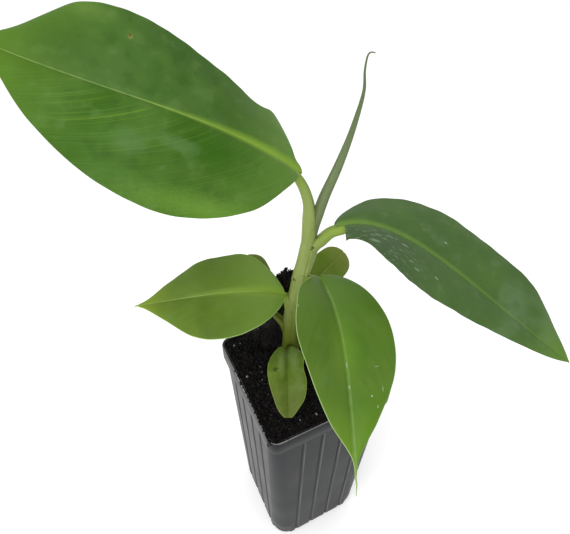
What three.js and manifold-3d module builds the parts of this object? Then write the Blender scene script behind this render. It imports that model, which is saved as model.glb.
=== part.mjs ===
// A young banana plant in a tall square nursery pot, in millimetres, +Z up.
// The origin is the middle of the pot's flat underside. The pot's sides lie along X and Y,
// and the plant stands turned in it: its own X axis runs from its left leaves to its right leaf.
import * as THREE from 'three';
import { mergeVertices } from 'three/addons/utils/BufferGeometryUtils.js';
import Module from 'manifold-3d';

const wasm = await Module();
wasm.setup();

// ---------------------------------------------------------------- driving dimensions
const GAP = 0.3; // clearance between pieces that touch
const PLANT_TURN = THREE.MathUtils.degToRad(-26); // the plant's turn in its pot, about Z

const POT = {
  width: 60, // outside width across the rim band
  footWidth: 51.5, // outside width at the underside
  height: 125,
  bandHeight: 9, // smooth band under the rim
  bandStep: 1, // how far the band stands proud of the wall
  rimCorner: 6, // corner radius at the rim
  footCorner: 9, // corner radius at the underside
  wall: 1.4,
  floor: 1.6,
  footEdge: 2, // rounding where the wall meets the underside
  rimEdge: 0.4, // rounding of the rim's two edges
  grooveAt: [-14.5, -5, 5, 14.5], // the grooves of one face, from its middle
  grooveWidth: 2.4,
  grooveDepth: 0.7,
  grooveGap: 2.5, // plain wall between the band and the top of a groove
  grooveFade: 2, // length over which a groove's end runs out
  drainRadius: 4,
  drainAt: 13, // the drain holes' distance from the middle, along X and along Y
};

const SOIL = {
  brim: 122, // where the surface meets the pot's wall
  level: 123, // the surface just inside that
  swell: 1, // how far the middle stands above the level
  heap: { at: [2.5, 19.5], spread: [10, 6.2], foot: 119, top: 163 }, // the mix piled up behind the stem
};
const HEAP_LOWEST = 0.04; // where the heap's bell is cut off, as a fraction of its rise

const BLADE_THICKNESS = 1;
const BLADE_ROOT = 0.8; // half width where the blade meets its stalk
const BLADE_TIP = 0.25; // half width at the very tip
const BLADE_STATIONS = [0, 0.07, 0.2, 0.4, 0.6, 0.8, 0.93, 1]; // where half widths are given
const LOBE_REACH = 0.1; // how soon a blade's base lobes fade, as a fraction of its length
const ROOT_FLARE = 1.5; // how much faster than a straight line a blade widens at its root
const TIP_ROUND = 1.3; // how much faster than a straight line a blade narrows at its tip

// Facets: how finely each rounded shape is divided.
const FACETS = {
  stem: { sides: 14, steps: 22 },
  spear: { sides: 10, steps: 20 },
  stalk: { sides: 10, steps: 8 },
  blade: { lengthSteps: 16, widthSteps: 6 },
  cornerSteps: 5,
  heap: { sides: 24, steps: 9 },
  soilShrinks: [0.97, 0.75, 0.5, 0.25], // the soil surface's rings, as fractions of its width
  plainStations: [-8, 8], // where a plain ring's faces are divided, in mm from their middles
  drainSides: 20,
};

// Limbs: [x, y, z, radius] from foot to end, in the plant's own axes.
const STEM_FOOT = 124.3;
const STEM_TOP = 206;
const STEM = [
  [-5.5, 10.5, STEM_FOOT, 4.2],
  [-5.5, 10.5, 130, 3.5],
  [-5.4, 10.6, 140, 3.3],
  [-4.8, 10.7, 150, 3.2],
  [-3.4, 10.7, 163, 3],
  [-2.4, 10.7, 171, 2.8],
  [-0.9, 10.7, 179, 2.7],
  [0.3, 10.7, 187, 2.7],
  [1.1, 10.7, 195, 2.7],
  [1.4, 10.7, STEM_TOP, 2.7],
];
const SPEAR = [
  [2.9, 10.7, STEM_TOP + GAP, 1.5],
  [5.2, 11.2, 209.5, 1.7],
  [9.4, 12.7, 219.6, 1.5],
  [12.6, 14.1, 228.8, 1.15],
  [14.8, 15.4, 237.5, 0.85],
  [16.1, 16.5, 244.4, 0.55],
  [16, 17.3, 250, 0.4],
  [16.4, 17.9, 254, 0.35],
  [18.7, 18, 254.4, 0.3],
];

// Leaves: the midrib is a Bezier curve from the stalk's end to the tip. Half widths are given
// at the inner blade stations. Bank turns the blade about its midrib, at base and tip; fold
// lifts both halves; lobe is how far the base reaches back past the stalk's end.
const LEAVES = {
  top: {
    stalk: [[0.1, 10.7, STEM_TOP + GAP, 1.9], [-0.6, 10.9, 213, 1.75], [-3.1, 11.4, 219, 1.5]],
    midrib: [[-3.5, 11.5, 219.5], [-25, -1.5, 245], [-55.5, -10, 254], [-91.5, 6.5, 262.5]],
    left: [11, 22.5, 29, 25.5, 15, 4.5],
    right: [16, 17.5, 21.5, 24, 20.5, 5.5],
    bank: [-33, -42],
    fold: -5,
    lobe: 0.5,
  },
  right: {
    stalk: [[0.5, 10.7, 184, 2], [5, 10.5, 191.5, 2.3], [9, 10, 196.3, 2.1], [13, 9.5, 198.3, 1.8]],
    midrib: [[13.5, 9.5, 198.5], [36.5, 14, 201.5], [66, -2, 173], [103, -18, 151.5]],
    left: [11, 18.5, 23, 21, 18, 7.5],
    right: [12.5, 20.5, 22, 16.5, 9, 4],
    bank: [-8, 24],
    fold: 2,
    lobe: 0.5,
  },
  front: {
    stalk: [[-2, 10.7, 163, 1.8], [1.6, 8.7, 171, 1.8], [5.6, 5.4, 174.2, 1.5]],
    midrib: [[6, 5, 174.5], [13.5, -16.5, 176], [13, -38, 169.5], [14, -63.5, 153]],
    left: [9.5, 14, 17.5, 16.5, 8, 1.5],
    right: [10, 14.5, 17, 14, 8, 1],
    bank: [-6, -9],
    fold: 9,
    lobe: 3,
  },
  left: {
    stalk: [[-5, 10.7, 149, 1.8], [-6.6, 10.3, 156.5, 1.8], [-7.8, 9.8, 161.3, 1.5]],
    midrib: [[-8, 9.5, 162], [-30, 4, 171.5], [-46.5, 2, 167], [-71, 6, 158]],
    left: [9.5, 16, 20, 18, 8.5, 2.5],
    right: [7.5, 17, 18, 16, 9.5, 2.5],
    bank: [-13, -20],
    fold: 0,
    lobe: 0,
  },
  low_front: {
    stalk: [[-5.6, 8, 127, 1.8], [-6.6, 4.2, 132, 1.8], [-7.4, 0.1, 135.6, 1.5]],
    midrib: [[-7.5, -0.5, 136], [-7.5, -8.5, 138.5], [-7, -18, 136], [-7, -29, 129]],
    left: [5.5, 7.5, 7, 8, 7, 3.5],
    right: [5, 7, 8.5, 8, 6, 4],
    bank: [3, 0],
    fold: 11,
    lobe: 2,
  },
  low_right: {
    stalk: [[-4, 11, 149, 1.5], [0, 15, 156, 1.5], [4, 19.4, 159.2, 1.2]],
    midrib: [[4.5, 20, 159.5], [8, 24.5, 160], [13, 31.5, 159.5], [19.5, 41, 158.5]],
    left: [5, 7, 8, 8, 7, 4.5],
    right: [5, 7, 8, 8, 7, 4.5],
    bank: [16, 30],
    fold: 9,
    lobe: 0,
  },
  low_back: {
    stalk: [[-5.6, 10.6, 134, 1.6], [-9.5, 11.6, 141, 1.6], [-15.4, 14.6, 147.6, 1.2]],
    midrib: [[-16, 15, 148], [-20, 23, 153], [-24, 32, 155], [-26.5, 41, 154]],
    left: [5, 7, 7.5, 7.5, 6.5, 4],
    right: [5, 7, 7.5, 7.5, 6.5, 4],
    bank: [0, 0],
    fold: 8,
    lobe: 1,
  },
};

const STYLE = {
  pot: { color: 0x33363a, roughness: 0.4, metalness: 0 },
  soil: { color: 0x17120f, roughness: 0.95, metalness: 0 },
  stem: { color: 0x93a155, roughness: 0.5, metalness: 0 },
  young: { color: 0x4d8128, roughness: 0.45, metalness: 0 },
  dark: { color: 0x3c6a35, roughness: 0.45, metalness: 0 },
  old: { color: 0x6f8533, roughness: 0.5, metalness: 0 },
  spear: { color: 0x768f5c, roughness: 0.5, metalness: 0 },
};

// ---------------------------------------------------------------- closed meshes and solids
/** Turns a three.js geometry into a manifold solid, welding its seams and dropping flat faces. */
function solidOf(geometry) {
  const bare = geometry.clone();
  bare.deleteAttribute('normal');
  bare.deleteAttribute('uv');
  const welded = mergeVertices(bare, 1e-4);
  const index = [];
  for (let i = 0; i < welded.index.count; i += 3) {
    const face = [0, 1, 2].map((k) => welded.index.getX(i + k));
    if (new Set(face).size === 3) index.push(...face);
  }
  return new wasm.Manifold(new wasm.Mesh({
    numProp: 3,
    vertProperties: new Float32Array(welded.attributes.position.array),
    triVerts: new Uint32Array(index),
  }));
}

/** Turns a manifold solid back into a three.js geometry. */
function geometryOf(solid) {
  const mesh = solid.getMesh();
  const geometry = new THREE.BufferGeometry();
  geometry.setAttribute('position', new THREE.BufferAttribute(new Float32Array(mesh.vertProperties), 3));
  geometry.setIndex(new THREE.BufferAttribute(new Uint32Array(mesh.triVerts), 1));
  geometry.computeVertexNormals();
  return geometry;
}

/** Moves every vertex of a geometry to the point that place returns for it. */
function reshape(geometry, place) {
  const position = geometry.attributes.position;
  for (let i = 0; i < position.count; i += 1) {
    const moved = place(new THREE.Vector3().fromBufferAttribute(position, i), i);
    position.setXYZ(i, moved.x, moved.y, moved.z);
  }
  return geometry;
}

// ---------------------------------------------------------------- rounded square rings
/** The stations round one face: its flat from end to end, then the corner's arc. */
function faceStations(grooved) {
  const stations = [{ kind: 'flat', end: -1 }];
  const half = POT.grooveWidth / 2;
  const middles = grooved ? POT.grooveAt : FACETS.plainStations;
  const across = grooved ? [-half, 0, half] : [0];
  for (const middle of middles) {
    for (const side of across) {
      stations.push({ kind: 'along', at: middle + side, deep: grooved && side === 0 ? 1 : 0 });
    }
  }
  stations.push({ kind: 'flat', end: 1 });
  for (let i = 1; i < FACETS.cornerSteps; i += 1) {
    stations.push({ kind: 'arc', turn: i / FACETS.cornerSteps });
  }
  return stations;
}

/** The point of one station on face number k of a ring with the given half width and corner. */
function stationPoint(station, k, ring) {
  const flat = Math.max(ring.half - ring.corner, 0);
  const point = new THREE.Vector3(ring.half, 0, ring.z);
  if (station.kind === 'flat') point.y = station.end * flat;
  if (station.kind === 'along') {
    point.y = THREE.MathUtils.clamp(station.at, -flat, flat);
    point.x = ring.half - station.deep * (ring.groove ?? 0);
  }
  if (station.kind === 'arc') {
    const angle = station.turn * Math.PI / 2;
    point.x = flat + ring.corner * Math.cos(angle);
    point.y = flat + ring.corner * Math.sin(angle);
  }
  return point.applyAxisAngle(new THREE.Vector3(0, 0, 1), k * Math.PI / 2);
}

/** A closed solid through rounded square rings; its first and last rings close on the axis. */
function squareLathe(rings, grooved) {
  const stations = faceStations(grooved);
  const profile = rings.map((ring, j) => new THREE.Vector2(ring.half > 0 ? 1 : 0, j));
  const geometry = new THREE.LatheGeometry(profile, stations.length * 4);
  return reshape(geometry, (vertex, i) => {
    const ring = rings[i % rings.length];
    const step = Math.floor(i / rings.length) % (stations.length * 4);
    if (ring.half === 0) return new THREE.Vector3(0, 0, ring.z);
    return stationPoint(stations[step % stations.length], Math.floor(step / stations.length), ring);
  });
}

// ---------------------------------------------------------------- the pot and its soil
const wallTop = POT.height - POT.bandHeight;

/** The wall's outside half width at a height. */
function wallHalf(z) {
  const top = POT.width / 2 - POT.bandStep;
  return THREE.MathUtils.lerp(POT.footWidth / 2, top, Math.min(z / wallTop, 1));
}

/** The outside corner radius at a height. */
function wallCorner(z) {
  return THREE.MathUtils.lerp(POT.footCorner, POT.rimCorner, z / POT.height);
}

/** A ring on the wall at a height, moved inwards by inset. */
function wallRing(z, inset = 0, groove = 0) {
  return { z, half: wallHalf(z) - inset, corner: Math.max(wallCorner(z) - inset, 1), groove };
}

/** A ring on the band under the rim, moved inwards by inset. */
function bandRing(z, inset = 0) {
  return { z, half: POT.width / 2 - inset, corner: wallCorner(z) + POT.bandStep - inset };
}

/** The pot: grooved walls under a smooth band, hollow, with four drain holes in its floor. */
function potSolid() {
  const { footEdge, rimEdge, grooveDepth, grooveFade, wall, floor, height } = POT;
  const grooveTop = wallTop - POT.grooveGap;
  const grooveFoot = footEdge + grooveFade / 2;
  const inside = wall + POT.bandStep;
  const rings = [
    { z: 0, half: 0 },
    { ...wallRing(0, footEdge), z: 0 },
    wallRing(footEdge * 0.3, footEdge * 0.3),
    wallRing(footEdge),
    wallRing(grooveFoot, 0, grooveDepth),
    wallRing(grooveTop - grooveFade, 0, grooveDepth),
    wallRing(grooveTop),
    wallRing(wallTop),
    bandRing(wallTop + 0.01),
    bandRing(height - rimEdge),
    bandRing(height, rimEdge),
    bandRing(height, inside - rimEdge),
    bandRing(height - rimEdge, inside),
    wallRing(floor, wall),
    { z: floor, half: 0 },
  ];
  let solid = solidOf(squareLathe(rings, true));
  for (const sx of [-1, 1]) {
    for (const sy of [-1, 1]) {
      const hole = new THREE.CylinderGeometry(
        POT.drainRadius, POT.drainRadius, floor * 4, FACETS.drainSides);
      hole.rotateX(Math.PI / 2);
      hole.translate(sx * POT.drainAt, sy * POT.drainAt, 0);
      solid = solid.subtract(solidOf(hole));
    }
  }
  return solid;
}

/** The heap of potting mix behind the stem: a bell on an oval foot that starts inside the soil. */
function heapSolid() {
  const { at, spread, foot, top } = SOIL.heap;
  const { sides, steps } = FACETS.heap;
  const reach = (share) => Math.sqrt(-Math.log(share));
  const profile = [new THREE.Vector2(0, foot), new THREE.Vector2(reach(HEAP_LOWEST), foot)];
  for (let i = 0; i < steps; i += 1) {
    const share = THREE.MathUtils.lerp(HEAP_LOWEST, 1, i / steps);
    profile.push(new THREE.Vector2(reach(share), THREE.MathUtils.lerp(SOIL.level, top, share)));
  }
  profile.push(new THREE.Vector2(0, top));
  const bell = new THREE.LatheGeometry(profile, sides);
  bell.rotateX(Math.PI / 2);
  bell.scale(spread[0], spread[1], 1);
  bell.translate(at[0], at[1], 0);
  return solidOf(bell);
}

/** The soil that fills the pot, with its raised middle and its heap. */
function soilSolid() {
  const inset = POT.wall + GAP;
  const bottom = POT.floor + GAP;
  const edge = wallRing(SOIL.brim, inset);
  const rings = [{ z: bottom, half: 0 }, wallRing(bottom, inset), edge];
  for (const shrink of FACETS.soilShrinks) {
    const z = SOIL.level + SOIL.swell * (1 - shrink);
    rings.push({ z, half: edge.half * shrink, corner: edge.corner * shrink });
  }
  rings.push({ z: SOIL.level + SOIL.swell, half: 0 });
  const above = SOIL.heap.top + GAP;
  const shaft = [
    { z: bottom, half: 0 },
    { ...edge, z: bottom },
    { ...edge, z: above },
    { z: above, half: 0 },
  ];
  const heap = heapSolid().intersect(solidOf(squareLathe(shaft, false)));
  return solidOf(squareLathe(rings, false)).add(heap);
}

// ---------------------------------------------------------------- limbs and blades
/** A round limb through [x, y, z, radius] points, made thicker and longer by grow. */
function limbSolid(points, { sides, steps }, grow = 0) {
  const curve = new THREE.CatmullRomCurve3(points.map(([x, y, z]) => new THREE.Vector3(x, y, z)));
  const radii = points.map((point) => point[3]);
  const frames = curve.computeFrenetFrames(steps, false);
  const tube = new THREE.CylinderGeometry(1, 1, 1, sides, steps);
  reshape(tube, (vertex) => {
    const t = THREE.MathUtils.clamp(vertex.y + 0.5, 0, 1);
    const step = Math.round(t * steps);
    const place = t * (radii.length - 1);
    const before = Math.min(Math.floor(place), radii.length - 2);
    const radius = THREE.MathUtils.lerp(radii[before], radii[before + 1], place - before) + grow;
    const tangent = frames.tangents[step];
    const normal = frames.normals[step];
    const side = new THREE.Vector3().crossVectors(normal, tangent);
    const point = curve.getPoint(t);
    point.addScaledVector(normal, vertex.x * radius);
    point.addScaledVector(side, vertex.z * radius);
    if (step === 0) point.addScaledVector(tangent, -grow);
    if (step === steps) point.addScaledVector(tangent, grow);
    return point;
  });
  return solidOf(tube);
}

/** A smooth curve through a blade's half widths, from its root to its tip. */
function halfWidth(widths, s) {
  const at = BLADE_STATIONS;
  const value = [BLADE_ROOT, ...widths, 0];
  const last = value.length - 1;
  const slope = value.map((v, i) => {
    if (i === 0) return ROOT_FLARE * (value[1] - value[0]) / (at[1] - at[0]);
    if (i === last) return TIP_ROUND * (value[last] - value[last - 1]) / (at[last] - at[last - 1]);
    return (value[i + 1] - value[i - 1]) / (at[i + 1] - at[i - 1]);
  });
  const i = Math.max(0, Math.min(at.findIndex((station) => station > s), last) - 1);
  const span = s >= 1 ? last - 1 : i;
  const h = at[span + 1] - at[span];
  const t = (s - at[span]) / h;
  const a = (2 * t ** 3 - 3 * t ** 2 + 1) * value[span] + (t ** 3 - 2 * t ** 2 + t) * h * slope[span];
  const b = (3 * t ** 2 - 2 * t ** 3) * value[span + 1] + (t ** 3 - t ** 2) * h * slope[span + 1];
  return Math.max(a + b, BLADE_TIP);
}

/** A thin closed blade bent along its midrib, made thicker and wider by grow. */
function bladeSolid(leaf, grow = 0) {
  const { lengthSteps, widthSteps } = FACETS.blade;
  const midrib = new THREE.CubicBezierCurve3(...leaf.midrib.map((p) => new THREE.Vector3(...p)));
  const up = new THREE.Vector3(0, 0, 1);
  const slab = new THREE.BoxGeometry(1, 1, 1, lengthSteps, widthSteps, 1);
  reshape(slab, (vertex) => {
    const t = vertex.x + 0.5;
    const s = t * t * (1.5 - t) + t / 2;
    const u = vertex.y * 2;
    const along = midrib.getTangent(s);
    const across = new THREE.Vector3().crossVectors(up, along).normalize();
    const bank = THREE.MathUtils.lerp(leaf.bank[0], leaf.bank[1], s);
    across.applyAxisAngle(along, THREE.MathUtils.degToRad(bank));
    const normal = new THREE.Vector3().crossVectors(along, across);
    const half = halfWidth(u > 0 ? leaf.left : leaf.right, s) + grow;
    const fold = THREE.MathUtils.degToRad(leaf.fold);
    const point = midrib.getPoint(s);
    point.addScaledVector(across, u * half * Math.cos(fold));
    point.addScaledVector(normal, Math.abs(u) * half * Math.sin(fold));
    point.addScaledVector(along, -leaf.lobe * Math.abs(u) * Math.exp(-s / LOBE_REACH));
    point.addScaledVector(normal, vertex.z * (BLADE_THICKNESS + 2 * grow));
    if (t === 0) point.addScaledVector(along, -grow);
    if (t === 1) point.addScaledVector(along, grow);
    return point;
  });
  return solidOf(slab);
}

// ---------------------------------------------------------------- the plant, piece by piece
const stemShape = (grow) => limbSolid(STEM, FACETS.stem, grow);
const spearShape = (grow) => limbSolid(SPEAR, FACETS.spear, grow);
const stalkShape = (leaf, grow) => limbSolid(leaf.stalk, FACETS.stalk, grow);

const grownStem = stemShape(GAP);
const grownSpear = spearShape(GAP);

/** Adds a named mesh made of a solid to a group. */
function addPiece(group, name, solid, style) {
  const mesh = new THREE.Mesh(geometryOf(solid), new THREE.MeshStandardMaterial(STYLE[style]));
  mesh.name = name;
  group.add(mesh);
}

const object = new THREE.Group();
const plant = new THREE.Group();
plant.rotation.z = PLANT_TURN;
object.add(plant);

addPiece(plant, 'pseudostem', stemShape(0), 'stem');
addPiece(plant, 'spear_leaf', spearShape(0).subtract(grownStem), 'spear');

const bladeStyle = { top: 'young', right: 'dark', front: 'dark', left: 'young' };
let grownPlant = grownStem;
for (const [name, leaf] of Object.entries(LEAVES)) {
  const stalk = stalkShape(leaf, 0).subtract(grownStem).subtract(grownSpear);
  const grownStalk = stalkShape(leaf, GAP);
  const blade = bladeSolid(leaf).subtract(grownStem).subtract(grownStalk);
  addPiece(plant, `petiole_${name}`, stalk, name.startsWith('low') ? 'old' : 'stem');
  addPiece(plant, `leaf_${name}`, blade, bladeStyle[name] ?? 'old');
  grownPlant = grownPlant.add(grownStalk).add(bladeSolid(leaf, GAP));
}

const turned = grownPlant.rotate([0, 0, THREE.MathUtils.radToDeg(PLANT_TURN)]);
addPiece(object, 'soil', soilSolid().subtract(turned), 'soil');
addPiece(object, 'pot', potSolid(), 'pot');

export default object;
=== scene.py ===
"""A young banana plant in a tall square nursery pot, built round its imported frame.

Sizes in the classes are millimetres and degrees. A mesh is made in them, in the pot's axes or
in the plant's own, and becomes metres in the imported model's axes as the piece is placed.
"""
import logging
import math
import random
from dataclasses import dataclass, replace
from enum import Enum
from typing import Any, Callable

import bmesh
import bpy
from mathutils import Matrix, Vector, noise


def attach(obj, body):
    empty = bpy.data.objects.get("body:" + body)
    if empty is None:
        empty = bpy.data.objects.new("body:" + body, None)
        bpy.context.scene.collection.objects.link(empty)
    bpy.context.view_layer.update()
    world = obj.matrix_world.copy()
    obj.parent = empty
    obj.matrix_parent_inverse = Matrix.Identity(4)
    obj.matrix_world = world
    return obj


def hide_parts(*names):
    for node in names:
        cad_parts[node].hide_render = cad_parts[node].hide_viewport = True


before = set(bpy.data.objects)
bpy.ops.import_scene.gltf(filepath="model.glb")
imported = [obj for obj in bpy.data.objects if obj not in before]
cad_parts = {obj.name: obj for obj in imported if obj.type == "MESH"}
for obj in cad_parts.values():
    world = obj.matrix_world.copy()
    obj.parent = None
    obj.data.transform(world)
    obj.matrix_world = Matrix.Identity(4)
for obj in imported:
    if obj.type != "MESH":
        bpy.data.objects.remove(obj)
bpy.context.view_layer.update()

LOG = logging.getLogger("banana_plant")
MM = 0.001
PLANT_TURN = math.radians(-26)
BODY = "root"
BATCH = 50  # how many small shapes are made in one small mesh
UP = Vector((0, 0, 1))

Colour = int  # 0xRRGGBB, as the eye sees it
Pair = tuple[float, float]
Point = tuple[float, float, float]
Knot = tuple[float, float, float, float]  # a point of a course, and the radius there
Socket = bpy.types.NodeSocket
BMesh = bmesh.types.BMesh


class Axes(Enum):
    """Whose axes the sizes of a piece are given in."""

    POT = "pot"
    PLANT = "plant"

    def to_row(self) -> Matrix:
        """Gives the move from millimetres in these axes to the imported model's metres."""
        turn = PLANT_TURN if self is Axes.PLANT else 0.0
        return Matrix.Rotation(turn, 4, "Z") @ Matrix.Scale(MM, 4)


def seen(colour: Colour) -> tuple[float, ...]:
    """Turns a colour as the eye sees it into a shader's linear values, with full cover."""
    shares = [value / 255 for value in colour.to_bytes(3, "big")]
    return (*(s / 12.92 if s <= 0.04045 else ((s + 0.055) / 1.055) ** 2.4 for s in shares), 1.0)


def blend(low: float, high: float, share: float) -> float:
    """Gives the number a share of the way from low to high."""
    return low + (high - low) * share


def ease(value: float, low: float, high: float) -> float:
    """Gives 0 below low, 1 above high, and a smooth rise between them."""
    share = min(max((value - low) / (high - low), 0.0), 1.0)
    return share * share * (3 - 2 * share)


def end_cap(share: float, start: float) -> float:
    """Gives the share of its radius that a limb keeps as it closes, from a start to 1."""
    return math.sqrt(max(1 - max((share - start) / (1 - start), 0.0) ** 2, 0.02))


# ------------------------------------------------------------------------------ making pieces
def place_piece(
    bm: BMesh,
    name: str,
    material: bpy.types.Material,
    slot: str,
    axes: Axes,
    node: str = "",
    smooth: bool = True,
    crease: float = 55.0,
) -> None:
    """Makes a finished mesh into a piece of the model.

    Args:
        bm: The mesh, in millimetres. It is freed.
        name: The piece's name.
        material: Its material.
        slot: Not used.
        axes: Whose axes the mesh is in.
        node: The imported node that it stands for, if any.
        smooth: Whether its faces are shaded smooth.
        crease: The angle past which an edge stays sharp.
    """
    bmesh.ops.transform(bm, matrix=axes.to_row(), verts=bm.verts)
    for face in bm.faces:
        face.smooth = smooth
    for edge in bm.edges:
        edge.smooth = edge.calc_face_angle(0.0) < math.radians(crease)
    mesh = bpy.data.meshes.new(name)
    bm.to_mesh(mesh)
    bm.free()
    mesh.materials.append(material)
    piece = bpy.data.objects.new(name, mesh)
    bpy.context.scene.collection.objects.link(piece)
    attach(piece, BODY)
    if node:
        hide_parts(node)
    LOG.info("%s: %d faces", name, len(mesh.polygons))


def add_in_batches(bm: BMesh, items: list[Any], add: Callable[[BMesh, Any], None]) -> None:
    """Adds many small shapes, a batch at a time, since each is quicker in a small mesh.

    Args:
        bm: The mesh that they go into.
        items: What each shape is made from.
        add: Adds one shape to the mesh that it is given.
    """
    for start in range(0, len(items), BATCH):
        part = bmesh.new()
        for item in items[start:start + BATCH]:
            add(part, item)
        mesh = bpy.data.meshes.new("batch")
        part.to_mesh(mesh)
        part.free()
        bm.from_mesh(mesh)
        bpy.data.meshes.remove(mesh)


@dataclass(frozen=True)
class Ring:
    """The middle of one ring of a limb, and the directions that its sides are set out in."""

    middle: Vector
    face: Vector
    side: Vector
    radius: float
    share: float

    def way(self, angle: float) -> Vector:
        """Gives the direction out of the limb at an angle from the ring's face."""
        return self.face * math.cos(angle) + self.side * math.sin(angle)


@dataclass(frozen=True)
class Course:
    """The smooth course of a limb through knots, whose face looks one way at its end."""

    knots: tuple[Knot, ...]
    facing: Vector

    def at(self, share: float) -> tuple[Vector, float]:
        """Gives the middle and the radius a share of the way along."""
        last = len(self.knots) - 1
        span = min(int(share * last), last - 1)
        t = share * last - span
        near = [self.knots[min(max(span + k, 0), last)] for k in (-1, 0, 1, 2)]
        value = []
        for a, b, c, d in zip(*near):
            curve = (2 * a - 5 * b + 4 * c - d) * t * t + (3 * b - a - 3 * c + d) * t ** 3
            value.append(0.5 * (2 * b + (c - a) * t + curve))
        return Vector(value[:3]), value[3]

    def rings(self, steps: int) -> list[Ring]:
        """Sets out the rings, foot to end, whose face doesn't twist about the course."""
        places = [self.at(i / steps) for i in range(steps + 1)]
        rings = []
        face = self.facing
        for i in range(steps, -1, -1):
            ahead = places[min(i + 1, steps)][0] - places[max(i - 1, 0)][0]
            along = ahead.normalized()
            face = (face - along * face.dot(along)).normalized()
            middle, radius = places[i]
            rings.append(Ring(middle, face, along.cross(face), radius, i / steps))
        return rings[::-1]


def add_tube(
    bm: BMesh,
    rings: list[Ring],
    sides: int,
    section: Callable[[float, Ring], float] = lambda angle, ring: 1.0,
    mark: Callable[[float, Ring], Point] = lambda angle, ring: (ring.share, angle / math.tau, 0.0),
) -> None:
    """Adds a closed tube through rings.

    Args:
        bm: The mesh that it goes into.
        rings: The tube's rings.
        sides: How many sides it has.
        section: Gives the share of the radius at an angle from the ring's face.
        mark: Gives the numbers that the finish reads at that angle.
    """
    layer = bm.verts.layers.float_vector.get("limb") or bm.verts.layers.float_vector.new("limb")
    made = bmesh.ops.create_grid(bm, x_segments=len(rings) - 1, y_segments=sides, size=0.5)
    for vert in made["verts"]:
        ring = rings[round((vert.co.x + 0.5) * (len(rings) - 1))]
        angle = (vert.co.y + 0.5) * math.tau
        vert[layer] = mark(angle, ring)
        vert.co = ring.middle + ring.way(angle) * (ring.radius * section(angle, ring))
    merged = [vert for vert in made["verts"] if vert.is_boundary]
    bmesh.ops.remove_doubles(bm, verts=merged, dist=1e-4)
    rims = [edge for vert in merged if vert.is_valid for edge in vert.link_edges]
    rims = [edge for edge in set(rims) if edge.is_boundary]
    filled = bmesh.ops.holes_fill(bm, edges=rims, sides=0)["faces"]
    tube = {face for vert in made["verts"] if vert.is_valid for face in vert.link_faces}
    bmesh.ops.recalc_face_normals(bm, faces=list(tube | set(filled)))


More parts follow.
